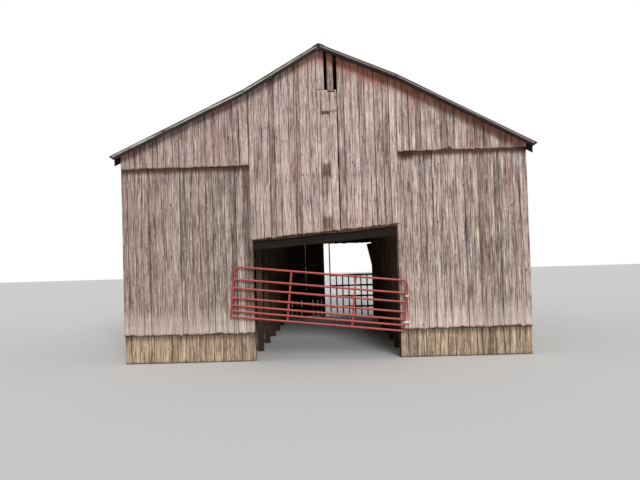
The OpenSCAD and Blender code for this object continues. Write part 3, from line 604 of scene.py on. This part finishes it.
for name, node, way, face, seed, spans in (
        ("front_skirt_boards", "front_skirts", "front", skirtFront[0][1], 91,
         ((skirtLeft, lowerLeft[1][0] - 0.001), (lowerRight[0][0] + 0.001, skirtRight))),
        ("rear_skirt_boards", "rear_skirts", "rear", rearSkirts[1][1], 92,
         ((skirtLeft, doorwayLeft - 0.001), (doorwayRight + 0.001, skirtRight))),
        ("side_skirt_boards_left", "side_skirts", "left", sideSkirts[0][0], 93, (span(sideSkirts, 1, 0),)),
        ("side_skirt_boards_right", "side_skirts", "right", sideSkirts[1][0], 94, (span(sideSkirts, 1, 0),))):
    wall(name, node, "skirt_boards", seed, spans, flatLine(0.012), flatLine(skirtFront[1][2]), face,
         {"width": (0.12, 0.24), "openShare": 0.4}, way=way, ragged=0.005, material="skirtBoards",
         nailRows=girtRows[:1], rakeTop=flatLine(lowerLeft[0][2]))
print("stage: rear wall, sides and skirts")

# nails


def nailHeads(name, spots, out, radius):
    # every head is a low six-sided dome: a ring of the radius in the board, a smaller one above it
    angle = np.arange(6) * np.pi / 3
    out = np.array(out, float)
    aside = np.cross(out, (0.0, 0.0, 1.0) if abs(out[2]) < 0.9 else (1.0, 0.0, 0.0))
    aside = aside / np.linalg.norm(aside)
    over = np.cross(out, aside)
    ring = np.cos(angle)[:, None] * aside + np.sin(angle)[:, None] * over
    shape = np.concatenate([ring * radius - out * nail["sunk"], ring * radius * nail["crown"] + out * nail["high"]])
    addMesh(name, None, spots[:, None] + shape, tubes(len(spots), 2, len(ring)), {}, nailFinish)


def rustFinish(name, clean, rust, dark, rusty):
    # small steel pieces: a clean tone that noise eats into with rust
    f = Finish(name)
    fine = f.noise(f.place, 160, 4, 0.65)
    broad = f.noise(f.place, 22, 3, 0.6)
    eaten = (broad + fine * 0.6).rise(0.98 - rusty, 1.12 - rusty)
    f.colour = f.mix(eaten, clean, f.mix(fine.rise(0.35, 0.65), rust, dark))
    return f.done(fine * eaten, 0.5, 0.002, Roughness=0.35 + 0.45 * eaten + 0.1 * fine, Metallic=0.85 - 0.8 * eaten)


nail = {"radius": 0.0055, "sunk": 0.001, "crown": 0.6, "high": 0.0018}  # crown: its radius as a share
nailFinish = rustFinish("nailSteel", srgb(120, 112, 106), srgb(110, 66, 46), srgb(66, 44, 36), 0.35)
for name, (spots, out, slotName) in nailSpots.items():
    nailHeads(name.replace("boards", "nails"), spots, out, nail["radius"])
print("stage: nails", sum(len(found[0]) for found in nailSpots.values()))

# roof


def fromEnds(t):  # how far a point is from the nearer end of its sheet
    return np.minimum(t - t.min(1, keepdims=True), t.max(1, keepdims=True) - t)


def sheetMesh(name, node, top, gauge, normal, vectors, material):
    # closed sheets from grids: top[k, row, column] is the upper skin, the lower one lies gauge under it
    count, rows, columns = top.shape[:3]
    low = top - np.asarray(normal) * gauge
    size = rows * columns
    base = (np.arange(count) * 2 * size)[:, None, None]
    i, j = np.arange(rows - 1)[:, None], np.arange(columns - 1)[None, :]
    a = i * columns + j
    upper = np.stack([a, a + 1, a + columns + 1, a + columns], -1).reshape(1, -1, 4) + base
    lower = np.stack([a, a + columns, a + columns + 1, a + 1], -1).reshape(1, -1, 4) + base + size
    rim = np.concatenate([np.arange(columns), np.arange(1, rows) * columns + columns - 1,
                          (rows - 1) * columns + np.arange(columns - 2, -1, -1),
                          np.arange(rows - 2, 0, -1) * columns])
    nextRim = np.roll(rim, -1)
    edge = np.stack([rim, rim + size, nextRim + size, nextRim], -1)[None] + base
    faces = [f.reshape(-1, 4) for f in (upper, lower, edge)]
    # which way the grid turns decides which skin looks up
    turn = np.cross(top[0, 0, 1] - top[0, 0, 0], top[0, 1, 0] - top[0, 0, 0])
    if np.dot(turn, normal) < 0:
        faces = [f[:, ::-1] for f in faces]
    vectors = {key: np.stack([v, v], 1) for key, v in vectors.items()}
    addMesh(name, node, np.stack([top, low], 1), faces, vectors, material)


roofMetal = withTones({
    "greyRoof": {"tones": ((166, 164, 163), (128, 124, 123), (132, 88, 68), (88, 60, 52), (58, 48, 46)),
                 "rusty": 0.10, "metallic": 0.30, "gloss": 0.3},
    "rustyRoof": {"tones": ((142, 130, 128), (112, 98, 96), (122, 84, 72), (78, 58, 56), (112, 92, 88)),
                  "rusty": 0.36, "metallic": 0.20, "gloss": 0.3},
    "capMetal": {"tones": ((158, 156, 154), (122, 118, 116), (132, 92, 74), (88, 62, 54), (58, 48, 46)),
                 "rusty": 0.18, "metallic": 0.04, "gloss": 0.06},
}, ("clean", "dull", "rust", "deep", "rim"))


def roofFinish(name):
    # place = (along the barn, down the slope, shift), board = (tone, tint, rib 0..1),
    # ends = (distance from the nearest end of the sheet, distance from its side, not used)
    tone = roofMetal[name]
    f = Finish(name, Specular_IOR_Level=tone["gloss"])
    place = f.attribute("place")
    shade, tint, rib = f.split(f.attribute("board"))
    fromEnd, fromSide = f.split(f.attribute("ends"))[:2]
    runs = f.noise(place, (26, 1.1, 5), 4, 0.65)
    cloud = f.noise(place, (2.2, 1.1, 3), 4, 0.6, 0.5)
    fine = f.noise(place, (60, 40, 5), 4, 0.7)
    spangle = f.node("ShaderNodeTexVoronoi", {"feature": "F1"}, {"Vector": f.scaled(place, 55, 55, 5)}, "Color")
    grain = f.node("ShaderNodeSeparateColor", {}, {"Color": spangle})
    f.colour = f.mix((shade * 0.5 + cloud * 0.6).clamped(), tone["dull"], tone["clean"])
    f.coat(grain * 0.22, tone["dull"])
    near = fromEnd.rise(0.30, 0.0) * 0.26 + fromSide.rise(0.08, 0.0) * 0.14 + rib * 0.10
    eaten = cloud * 0.62 + runs * 0.34 + fine * 0.16 + near + (tint - 0.5) * 0.16
    rusted = eaten.rise(0.86 - tone["rusty"], 1.02 - tone["rusty"])
    f.coat(rusted, f.mix((runs * 0.6 + fine * 0.6 - 0.1).clamped(), tone["rust"], tone["deep"]))
    f.coat(runs.rise(0.55, 0.8) * 0.35, tone["deep"])
    # at the gables the sheets' edges go dark: rust, and painted shade for the ribs' undersides
    f.coat(abs(f.split(f.place)[1]).rise(6.33, 6.385) * 0.9, tone["rim"])  # the sheets' edges at the gables
    return f.done(fine * rusted * 0.7 + cloud * 0.5 + grain * 0.1, 0.35, 0.004,
                  Roughness=0.56 + 0.30 * rusted + 0.10 * fine, Metallic=(1 - rusted) * tone["metallic"])


roof = {
    "panels": 21, "spaces": 42, "ribWide": 0.046, "ribHigh": 0.018, "gauge": 0.0012, "endOver": 0.034,
    "courses": ((0.014, 2.96, 0.0034), (2.80, None, 0.0)),  # top, foot, height over the battens
    "rows": 13, "bentRows": 8, "seed": 131,  # bentRows: rows between the ridge and the knee
    "over": 0.0022, "sideLap": 0.0014,  # heights over the battens and of a lap at the side
    "footDrop": 0.010, "topShift": 0.004, "wave": 0.0016, "buckle": 0.0022, "curl": 0.004,  # spreads at random
}
roofSides = (("left", -1, "greyRoof", "grey_roof_metal"), ("right", 1, "rustyRoof", "rusty_roof_metal"))
roofFinishes = {name: roofFinish(name) for name in roofMetal}
roofLow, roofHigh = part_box("roof_right")
battenTop = 0.025
ribStep = (roofHigh[1] - roofLow[1] - roof["ribWide"]) / roof["spaces"]
along = np.array([0, 1.0, 0])


def slopeAngle(side, low):  # the pitch above the knee, or below it
    atKnee = float(rake(side * knee))
    return math.atan((atKnee - float(rake(halfWide))) / (halfWide - knee) if low else (ridge - atKnee) / knee)


def slopeFrame(side, low):  # where a part of the slope starts, the way down it, and the way square to it
    angle = slopeAngle(side, low)
    start = np.array([side * knee, 0, float(rake(side * knee))]) if low else np.array([0, 0, ridge])
    return (start, np.array([side * math.cos(angle), 0, -math.sin(angle)]),
            np.array([side * math.sin(angle), 0, math.cos(angle)]))


def slopeTurn(side):  # how far down the slope the knee lies
    return knee / math.cos(slopeAngle(side, False))


def slopeEnd(side, edge, height):  # how far down the slope the x of edge lies, for what lies height over it
    angle = slopeAngle(side, True)
    return slopeTurn(side) + (edge - knee - height * math.sin(angle)) / math.cos(angle)


def onSlope(side, t, y, height):
    # point = start + (t - t of the start) * down + y * along + height * normal, on the part where t lies;
    # at the knee itself both parts share the mitre, (normal + normal) / (1 + cosine of the bend)
    turn = slopeTurn(side)
    highStart, highDown, highNormal = slopeFrame(side, False)
    lowStart, lowDown, lowNormal = slopeFrame(side, True)
    mitre = (highNormal + lowNormal) / (1 + np.dot(highNormal, lowNormal))
    t, y, height = (a[..., None] for a in np.broadcast_arrays(t, y, height))
    high = highStart + t * highDown + height * highNormal
    low = lowStart + (t - turn) * lowDown + height * lowNormal
    spot = np.where(t < turn, high, low)
    return np.where(np.abs(t - turn) < 0.001, lowStart + height * mitre, spot) + y * along


def roofSheets(name, node, side, material):
    # a course of ribbed sheets: point(k, row, column) lies on the slope at t down it and y along it,
    # h over it, with h the rib profile, plus slow waves of the flats and a curled, uneven foot
    rng = np.random.default_rng(roof["seed"] + side)
    turn, end = slopeTurn(side), slopeEnd(side, roofHigh[0], battenTop + roof["endOver"])
    k, w, h = roof["panels"], roof["ribWide"], roof["ribHigh"]
    rib, ribRise = np.array([0, 0.35, 0.65, 1.0]) * w, [0, h, h, 0]
    between = np.array([0.25, 0.5, 0.75]) * (ribStep - w) + w
    profileY = np.concatenate([rib, between, ribStep + rib, ribStep + between, 2 * ribStep + rib])
    profileH = np.concatenate([ribRise, np.zeros(3), ribRise, np.zeros(3), ribRise])
    flatPart = (profileH == 0) * 1.0
    parts = []
    for top, foot, lift in roof["courses"]:
        foot = end if foot is None else foot
        s = np.linspace(0, 1, roof["rows"])[None, :, None]
        bent = roof["bentRows"] / (roof["rows"] - 1) if foot > turn > top else 0.0
        footDrop = -np.abs(rng.normal(0, roof["footDrop"], (k, 1, 1)))
        t = np.interp(s, [0, bent, 1], [top, turn, foot]) if bent else top + s * (foot - top)
        t = t + footDrop * np.clip((s - bent) / (1 - bent), 0, 1)
        if not bent:
            t = t + rng.normal(0, roof["topShift"], (k, 1, 1)) * (1 - s)
        y = roofLow[1] + (np.arange(k) * 2 * ribStep)[:, None, None] + profileY[None, None, :] + 0 * t
        wave = np.sin(t * 9.2 + rng.random((k, 1, 1)) * 6.3) * roof["wave"] * flatPart
        buckle = np.abs(rng.normal(0, roof["buckle"], (k, roof["rows"], len(profileY)))) * flatPart
        raised = lift + np.arange(k)[:, None, None] % 2 * roof["sideLap"]
        curl = np.abs(rng.normal(0, roof["curl"], (k, 1, len(profileY)))) * np.clip((s - 0.9) * 10, 0, 1) * flatPart
        height = battenTop + roof["over"] + profileH + raised + wave * 0.7 + buckle + curl
        t, y, height = np.broadcast_arrays(t, y, height)
        shift = rng.random((k, 1, 1)) * 30
        tone, tint = rng.random((k, 1, 1)), rng.random((k, 1, 1))
        parts.append({"spot": onSlope(side, t, y, height), **carried(
            t, place=(y + shift, t + shift, shift), board=(tone, tint, profileH / h),
            ends=(fromEnds(t), np.minimum(profileY, profileY[-1] - profileY), 1.0))})
    whole = {key: np.concatenate([part[key] for part in parts]) for key in parts[0]}
    sheetMesh(name, node, whole.pop("spot"), roof["gauge"], slopeFrame(side, True)[2], whole,
              roofFinishes[material])


for way, side, material, slotName in roofSides:
    roofSheets("roof_sheets_" + way, "roof_" + way, side, material)

roofNail = {"battens": 10, "first": 0.04, "battenWide": 0.095, "over": 0.0035, "radius": 0.008, "stray": 0.006,
            "seed": 141}


def roofNails(name, side):
    # a broad nail where a rib crosses a batten: t = the batten's middle, y = the rib's middle, on the rib's crown
    rng = np.random.default_rng(roofNail["seed"] + side)
    first, last = roofNail["first"], roofNail["battens"] - 1
    reach = slopeEnd(side, roofHigh[0], battenTop) - first - roofNail["battenWide"]
    rows = first + roofNail["battenWide"] / 2 + np.arange(1, last + 1) * reach / last
    ribs = roofLow[1] + roof["ribWide"] / 2 + np.arange(roof["spaces"] + 1) * ribStep
    t = (rows[:, None] + rng.normal(0, roofNail["stray"], (len(rows), len(ribs)))).ravel()
    y = np.tile(ribs, len(rows))
    upperFoot, upperLift = roof["courses"][0][1:]
    lift = np.where(t < upperFoot, upperLift, 0.0)
    spots = onSlope(side, t, y, battenTop + roof["ribHigh"] + roofNail["over"] + lift)
    for part, low in (("upper", False), ("lower", True)):
        nailHeads("%s_%s" % (name, part), spots[(t > slopeTurn(side)) == low], slopeFrame(side, low)[2],
                  roofNail["radius"])


for way, side, material, slotName in roofSides:
    roofNails("roof_nails_" + way, side)

cap = {"wide": 0.168, "round": 0.018, "lengths": 5, "lap": 0.10, "gauge": 0.0012, "rows": 24, "dent": 0.0012,
       "step": 0.0015, "sunk": 0.003, "seed": 151}


def ridgeCap():
    # a bent strip over the ridge: wings at the slopes' pitches, tangent to a rolled bead, in lapped lengths
    rng = np.random.default_rng(cap["seed"])
    k, rows, r = cap["lengths"], cap["rows"], cap["round"]
    (_, y0, _), (_, y1, high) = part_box("ridge_cap")
    length = (y1 - y0 - cap["lap"]) / k
    leftAngle, rightAngle = slopeAngle(-1, False), slopeAngle(1, False)
    bend = np.linspace(-leftAngle, rightAngle, 7)
    x = np.concatenate([-np.array([1.0, 0.66, 0.33]) * cap["wide"] * math.cos(leftAngle), r * np.sin(bend),
                        np.array([0.33, 0.66, 1.0]) * cap["wide"] * math.cos(rightAngle)])
    z = np.concatenate([np.zeros(3), r * np.cos(bend) - r, np.zeros(3)])
    angle = np.where(x < 0, leftAngle, rightAngle)
    wing = np.abs(x) > r * np.sin(angle) + 1e-6
    z = np.where(wing, r * np.cos(angle) - r - (np.abs(x) - r * np.sin(angle)) * np.tan(angle), z)
    s = np.linspace(0, 1, rows)[None, :, None]
    y = y0 + (np.arange(k) * length)[:, None, None] + s * (length + cap["lap"])
    dents = rng.normal(0, cap["dent"], (k, rows, len(x))) - cap["step"] * (np.arange(k)[:, None, None] % 2)
    x, y, z = np.broadcast_arrays(x[None, None, :], y, z[None, None, :] + np.minimum(dents, cap["step"]))
    spot = np.stack([x, y, high - cap["sunk"] + z], -1)
    tone = rng.random((k, 1, 1))
    vectors = carried(x, place=(y, x, 0.3), board=(tone, tone * 0.8, 0.0),
                      ends=(fromEnds(y), cap["wide"] - np.abs(x), 1.0))
    sheetMesh("ridge_cap_lengths", "ridge_cap", spot, cap["gauge"], (0, 0, 1), vectors,
              roofFinishes["capMetal"])


ridgeCap()

# verge boards: two lengths on every rake, the left ones pale with painted shade along their lower part, the right ones
# painted near black as shade
verge = {"deep": 0.112, "thick": 0.020, "gap": 0.003, "inset": 0.03, "short": 0.012, "under": 0.002}
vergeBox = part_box("verge_boards")
for end, y, look in (("front", vergeBox[0][1], -1), ("rear", vergeBox[1][1], 1)):
    for way, side, material, seed in (("left", -1, "vergeGrey", 161), ("right", 1, "vergeDark", 162)):
        turn, far = slopeTurn(side), slopeEnd(side, vergeBox[1][0] - verge["short"], 0)
        stops = ((verge["inset"], turn - verge["gap"]), (turn + verge["gap"], far - verge["inset"]))
        middle = battenTop - verge["under"] - verge["deep"] / 2
        runs = [(onSlope(side, a, y, middle), onSlope(side, b, y, middle), (0, look, 0),
                 verge["deep"], verge["thick"]) for a, b in stops]
        planks("verge_%s_%s" % (end, way), "verge_boards", "verge_timber", seed + look, runs, material,
               edgeWear=0.004, wobble=0.0006)
print("stage: roof")

# doorway header, ledger, fence and door leaf

header = {"tilt": math.tan(math.radians(4)), "deep": 0.26, "thick": 0.10, "rearRise": 0.13, "rearDeep": 0.258}
(x0, y, z0), (x1, rearY, _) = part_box("header_beams")
middle = z0 + header["deep"] / 2
planks("header_front", "header_beams", "header_timber", 171, [
    ((x0, y, middle), (x1, y, middle + (x1 - x0) * header["tilt"]), (0, -1, 0), header["deep"], header["thick"])],
    "headerWoodShaded", edgeWear=0.004, wobble=0.001)
middle = rearHead + header["rearRise"]
planks("header_rear", "header_beams", "header_timber", 172, [
    ((doorwayLeft, rearY, middle), (x1, rearY, middle), (0, 1, 0), header["rearDeep"], header["thick"])],
    "headerWoodShaded", edgeWear=0.003, wobble=0.001)

ledger = {"deep": 0.15, "thick": 0.070, "split": 0.58, "gap": np.array([0.004, 0, 0]), "worn": (0.012, 0.004)}
ledgerLow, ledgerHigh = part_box("ledger")
start = np.array([ledgerLow[0], ledgerLow[1], ledgerLow[2] + ledger["deep"] / 2])
end = np.array([ledgerHigh[0], ledgerLow[1], ledgerHigh[2] - ledger["deep"] / 2])
joint = start + (end - start) * ledger["split"]
planks("ledger_planks", "ledger", "header_timber", 173, [
    (start, joint - ledger["gap"], (0, -1, 0), ledger["deep"] - ledger["worn"][0], ledger["thick"]),
    (joint + ledger["gap"], end, (0, -1, 0), ledger["deep"] - ledger["worn"][1], ledger["thick"])],
    "ledgerWood", edgeWear=0.009, wobble=0.002, ragged=0.008)

fence = {"rail": 0.09, "picket": 0.07, "thick": 0.03, "pole": 0.06, "poleThick": 0.057, "foot": 0.35, "top": 1.79,
         "rails": 4, "pickets": 6, "ground": 0.010, "picketTop": 1.745, "worn": 0.006, "poleWorn": 0.004}
(x0, _, _), (x1, poleY, poleTop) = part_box("rear_fence")
railY = poleY - fence["pole"]
picketY = railY - fence["thick"]
runs = []
for i in range(fence["rails"]):
    z = fence["foot"] + i * (fence["top"] - fence["foot"] - fence["rail"]) / (fence["rails"] - 1) + fence["rail"] / 2
    runs.append(((x0, railY, z), (x1, railY, z), (0, 1, 0), fence["rail"] - fence["worn"], fence["thick"]))
for i in range(fence["pickets"]):
    x = x0 + (i + 1) * (x1 - x0) / (fence["pickets"] + 1) + fence["picket"] / 2
    runs.append(((x, picketY, fence["ground"]), (x, picketY, fence["picketTop"]),
                 (0, 1, 0), fence["picket"] - fence["worn"], fence["thick"]))
x = x0 + fence["pole"] / 2
runs.append(((x, poleY, fence["ground"]), (x, poleY, poleTop), (0, 1, 0), fence["pole"] - fence["poleWorn"],
             fence["poleThick"]))
planks("rear_fence_rails", "rear_fence", "fence_timber", 181, runs, "fenceBoards", edgeWear=0.004, ragged=0.004)

leaf = {"foot": (2.24, 6.1, 0.012), "lean": math.radians(12.4), "wide": 1.04, "high": 3.104, "boards": 5,
        "gap": 0.010, "ledges": (0.25, 1.50, 2.75), "ledge": 0.12, "ledgeThick": 0.028, "inset": 0.03, "worn": 0.004}
leafAcross = np.array([math.cos(leaf["lean"]), 0, math.sin(leaf["lean"])])
leafUp = np.array([-math.sin(leaf["lean"]), 0, math.cos(leaf["lean"])])
leafOut = np.array([0, leaf["ledgeThick"], 0])
foot = np.array(leaf["foot"])
wide = leaf["wide"] / leaf["boards"]
runs = []
for i in range(leaf["boards"]):
    start = foot + leafAcross * (i + 0.5) * wide
    runs.append((start, start + leafUp * leaf["high"], (0, 1, 0), wide - leaf["gap"], thick))
for up in leaf["ledges"]:
    start = foot + leafUp * (up + leaf["ledge"] / 2) + leafAcross * leaf["inset"] + leafOut
    runs.append((start, start + leafAcross * (leaf["wide"] - 2 * leaf["inset"]), (0, 1, 0),
                 leaf["ledge"] - leaf["worn"], leaf["ledgeThick"]))
planks("leaning_door_boards", "leaning_door", "door_boards", 191, runs, "doorBoardsShaded", edgeWear=0.003, ragged=0.008)
print("stage: header, fence and door leaf")

# frame timbers: the solids as they are, rough sawn

frameWood = {"pale": srgb(122, 98, 78), "mid": srgb(88, 67, 52), "dark": srgb(48, 35, 28), "grey": srgb(104, 94, 86),
             "outside": srgb(24, 18, 16)}


def timberFinish(name, stretch, turn=0.0, bare=False):
    # noise drawn out along the timber; turn leans the pattern in the plane of the rafters;
    # bare timber at the gables and outside the walls is painted near black, as weathering and as painted shade under
    # the roof's edge
    f = Finish(name, Specular_IOR_Level=0.2)
    place = f.node("ShaderNodeVectorRotate", {"rotation_type": "Y_AXIS"}, {"Vector": f.place, "Angle": turn})
    grain = f.noise(place, tuple(60 if s else 2.2 for s in stretch), 4, 0.62, 0.3)
    sawn = f.noise(place, tuple(9 if s else 70 for s in stretch), 2, 0.5)
    broad = f.noise(f.place, 1.6, 3, 0.6)
    f.colour = f.mix(broad, frameWood["mid"], frameWood["pale"])
    f.coat(grain.rise(0.55, 0.30) * 0.7, frameWood["dark"])
    f.coat((grain * 0.7 + broad * 0.7).rise(0.72, 0.95) * 0.6, frameWood["grey"])
    f.coat(sawn.rise(0.6, 0.75) * 0.18, frameWood["dark"])
    x, y, z = f.split(f.place)
    # darker towards the floor: painted shade
    f.coat((z + (broad - 0.5) * 0.6).rise(2.6, 0.1) * 0.75, frameWood["dark"])
    if bare:
        f.coat(abs(y).rise(6.0, 6.03).max(abs(x).rise(4.97, 5.02)) * 0.9, frameWood["outside"])
    return f.done(grain * 0.8 + sawn * 0.35, 0.7, 0.004, Roughness=0.80 + 0.15 * grain)


def dress(material, *names):  # CAD nodes keep their shape and take a material
    for name in names:
        shape = nodes[name]
        if not shape.material_slots:
            shape.data.materials.append(material)
        for slot in shape.material_slots:
            slot.material = material


dress(timberFinish("uprightTimber", (1, 1, 0)), "corner_posts", "wall_posts_left", "wall_posts_right",
      "drive_posts_left", "drive_posts_right", "wing_posts", "door_posts", "gable_studs")
dress(timberFinish("lengthTimber", (1, 0, 1)), "side_girts", "eave_plates", "purlin_plates")
dress(timberFinish("crossTimber", (0, 1, 1)), "front_girts", "rear_girts", "tie_beams", "knee_braces")
dress(timberFinish("battenTimber", (1, 0, 1), bare=True), "battens_left", "battens_right")
dress(timberFinish("leftRafterTimber", (0, 1, 1), pitchAngle, bare=True), "rafters_left")
dress(timberFinish("rightRafterTimber", (0, 1, 1), -pitchAngle, bare=True), "rafters_right")

# gate

gatePaint = {"fresh": srgb(200, 68, 60), "chalkAndHighlight": srgb(234, 142, 128), "worn": srgb(122, 34, 30),
             "rust": srgb(104, 56, 40), "deep": srgb(66, 38, 31)}


def gateFinish(name, rusty):
    # red enamel: chalky where the weather reaches it and paler on top as painted highlight, darker underneath as
    # painted shade, chipped to rust here and there
    f = Finish(name, Specular_IOR_Level=0.5, Coat_Roughness=0.35)
    broad = f.noise(f.place, 2.6, 4, 0.6)
    fine = f.noise(f.place, 46, 5, 0.7)
    chips = f.noise(f.place, 17, 5, 0.75, 0.4) + fine * 0.35
    normalZ = f.split(f.node("ShaderNodeNewGeometry", {}, {}, "Normal"))[2]
    f.colour = f.mix((broad * 1.3 - 0.25).clamped(), gatePaint["worn"], gatePaint["fresh"])
    # upward faces paler: chalking and painted highlight; downward faces darker: painted shade
    f.coat((normalZ.rise(0.15, 0.95) * (0.35 + fine)).clamped() * 0.8, gatePaint["chalkAndHighlight"])
    f.coat(normalZ.rise(0.25, -0.5) * 0.85, gatePaint["worn"])
    f.coat(chips.rise(0.84 - rusty, 0.92 - rusty) * 0.5, gatePaint["worn"])
    bare = chips.rise(0.92 - rusty, 0.96 - rusty)
    f.coat(bare, f.mix(fine, gatePaint["rust"], gatePaint["deep"]))
    return f.done(fine * 0.3 - bare * 0.6, 0.4, 0.001,
                  Roughness=0.42 + 0.18 * fine + 0.3 * bare, Coat_Weight=0.12 - 0.12 * bare)


dress(gateFinish("redEnamel", 0.02), "gate_frame", "gate_bars", "gate_stays")
dress(rustFinish("hingeSteel", srgb(212, 204, 198), srgb(168, 92, 74), srgb(116, 62, 50), 0.16), "gate_hinges")
dress(rustFinish("pinSteel", srgb(206, 204, 200), srgb(140, 96, 66), srgb(92, 64, 50), 0.12), "gate_pins")
print("stage: frame timbers and gate")

# floor, light, camera

studio = {"floor": (0.86, 0.86, 0.85, 1), "world": 0.42, "key": 2.05, "keySpread": 22, "keyTurn": (69, 15),
          "floorSize": 90}
floorMesh = bpy.data.meshes.new("floor")
f = studio["floorSize"]
floorMesh.from_pydata([(-f, -f, 0), (f, -f, 0), (f, f, 0), (-f, f, 0)], [], [(0, 1, 2, 3)])
floor = bpy.data.objects.new("floor", floorMesh)
scene.collection.objects.link(floor)
floorFinish = Finish("floorPale", Roughness=0.95)
floorFinish.shader.inputs["Base Color"].default_value = studio["floor"]
floorMesh.materials.append(floorFinish.material)

world = bpy.data.worlds.new("studio")
scene.world = world
world.use_nodes = True
tree = world.node_tree
background = tree.nodes["Background"]
backdrop = tree.nodes.new("ShaderNodeBackground")  # what the camera and reflections see: plain white
for shown, strength in ((background, studio["world"]), (backdrop, 1.0)):
    shown.inputs["Color"].default_value = (1, 1, 1, 1)
    shown.inputs["Strength"].default_value = strength
ray = tree.nodes.new("ShaderNodeLightPath")
seen, either = tree.nodes.new("ShaderNodeMath"), tree.nodes.new("ShaderNodeMath")
seen.operation = either.operation = "MAXIMUM"
choice = tree.nodes.new("ShaderNodeMixShader")
for start, end in (
        (ray.outputs["Is Camera Ray"], seen.inputs[0]), (ray.outputs["Is Glossy Ray"], seen.inputs[1]),
        (seen.outputs[0], either.inputs[0]), (ray.outputs["Is Transmission Ray"], either.inputs[1]),
        (either.outputs[0], choice.inputs[0]), (background.outputs[0], choice.inputs[1]),
        (backdrop.outputs[0], choice.inputs[2]), (choice.outputs[0], tree.nodes["World Output"].inputs["Surface"])):
    tree.links.new(start, end)
key = bpy.data.lights.new("key", "SUN")
key.energy = studio["key"]
key.angle = math.radians(studio["keySpread"])
keyLamp = bpy.data.objects.new("key", key)
keyLamp.rotation_euler = (math.radians(studio["keyTurn"][0]), 0, math.radians(studio["keyTurn"][1]))
scene.collection.objects.link(keyLamp)

view = {"place": (0.302, -22.027, 2.461), "yaw": 1.47, "up": 1.67, "roll": -1.74, "lens": 36.56}
yaw, up, roll = (math.radians(view[k]) for k in ("yaw", "up", "roll"))
forward = np.array([-math.sin(yaw) * math.cos(up), math.cos(yaw) * math.cos(up), math.sin(up)])
right0 = np.array([math.cos(yaw), math.sin(yaw), 0])
up0 = np.cross(right0, forward)
right = math.cos(roll) * right0 + math.sin(roll) * up0
upward = np.cross(right, forward)
camera = bpy.data.cameras.new("camera")
camera.lens = view["lens"]
camera.sensor_width = 36
cameraObject = bpy.data.objects.new("camera", camera)
scene.collection.objects.link(cameraObject)
columns = [*right, 0], [*upward, 0], [*(-forward), 0], [*view["place"], 1]
cameraObject.matrix_world = Matrix(columns).transposed()
scene.camera = cameraObject
scene.view_settings.view_transform = "Standard"
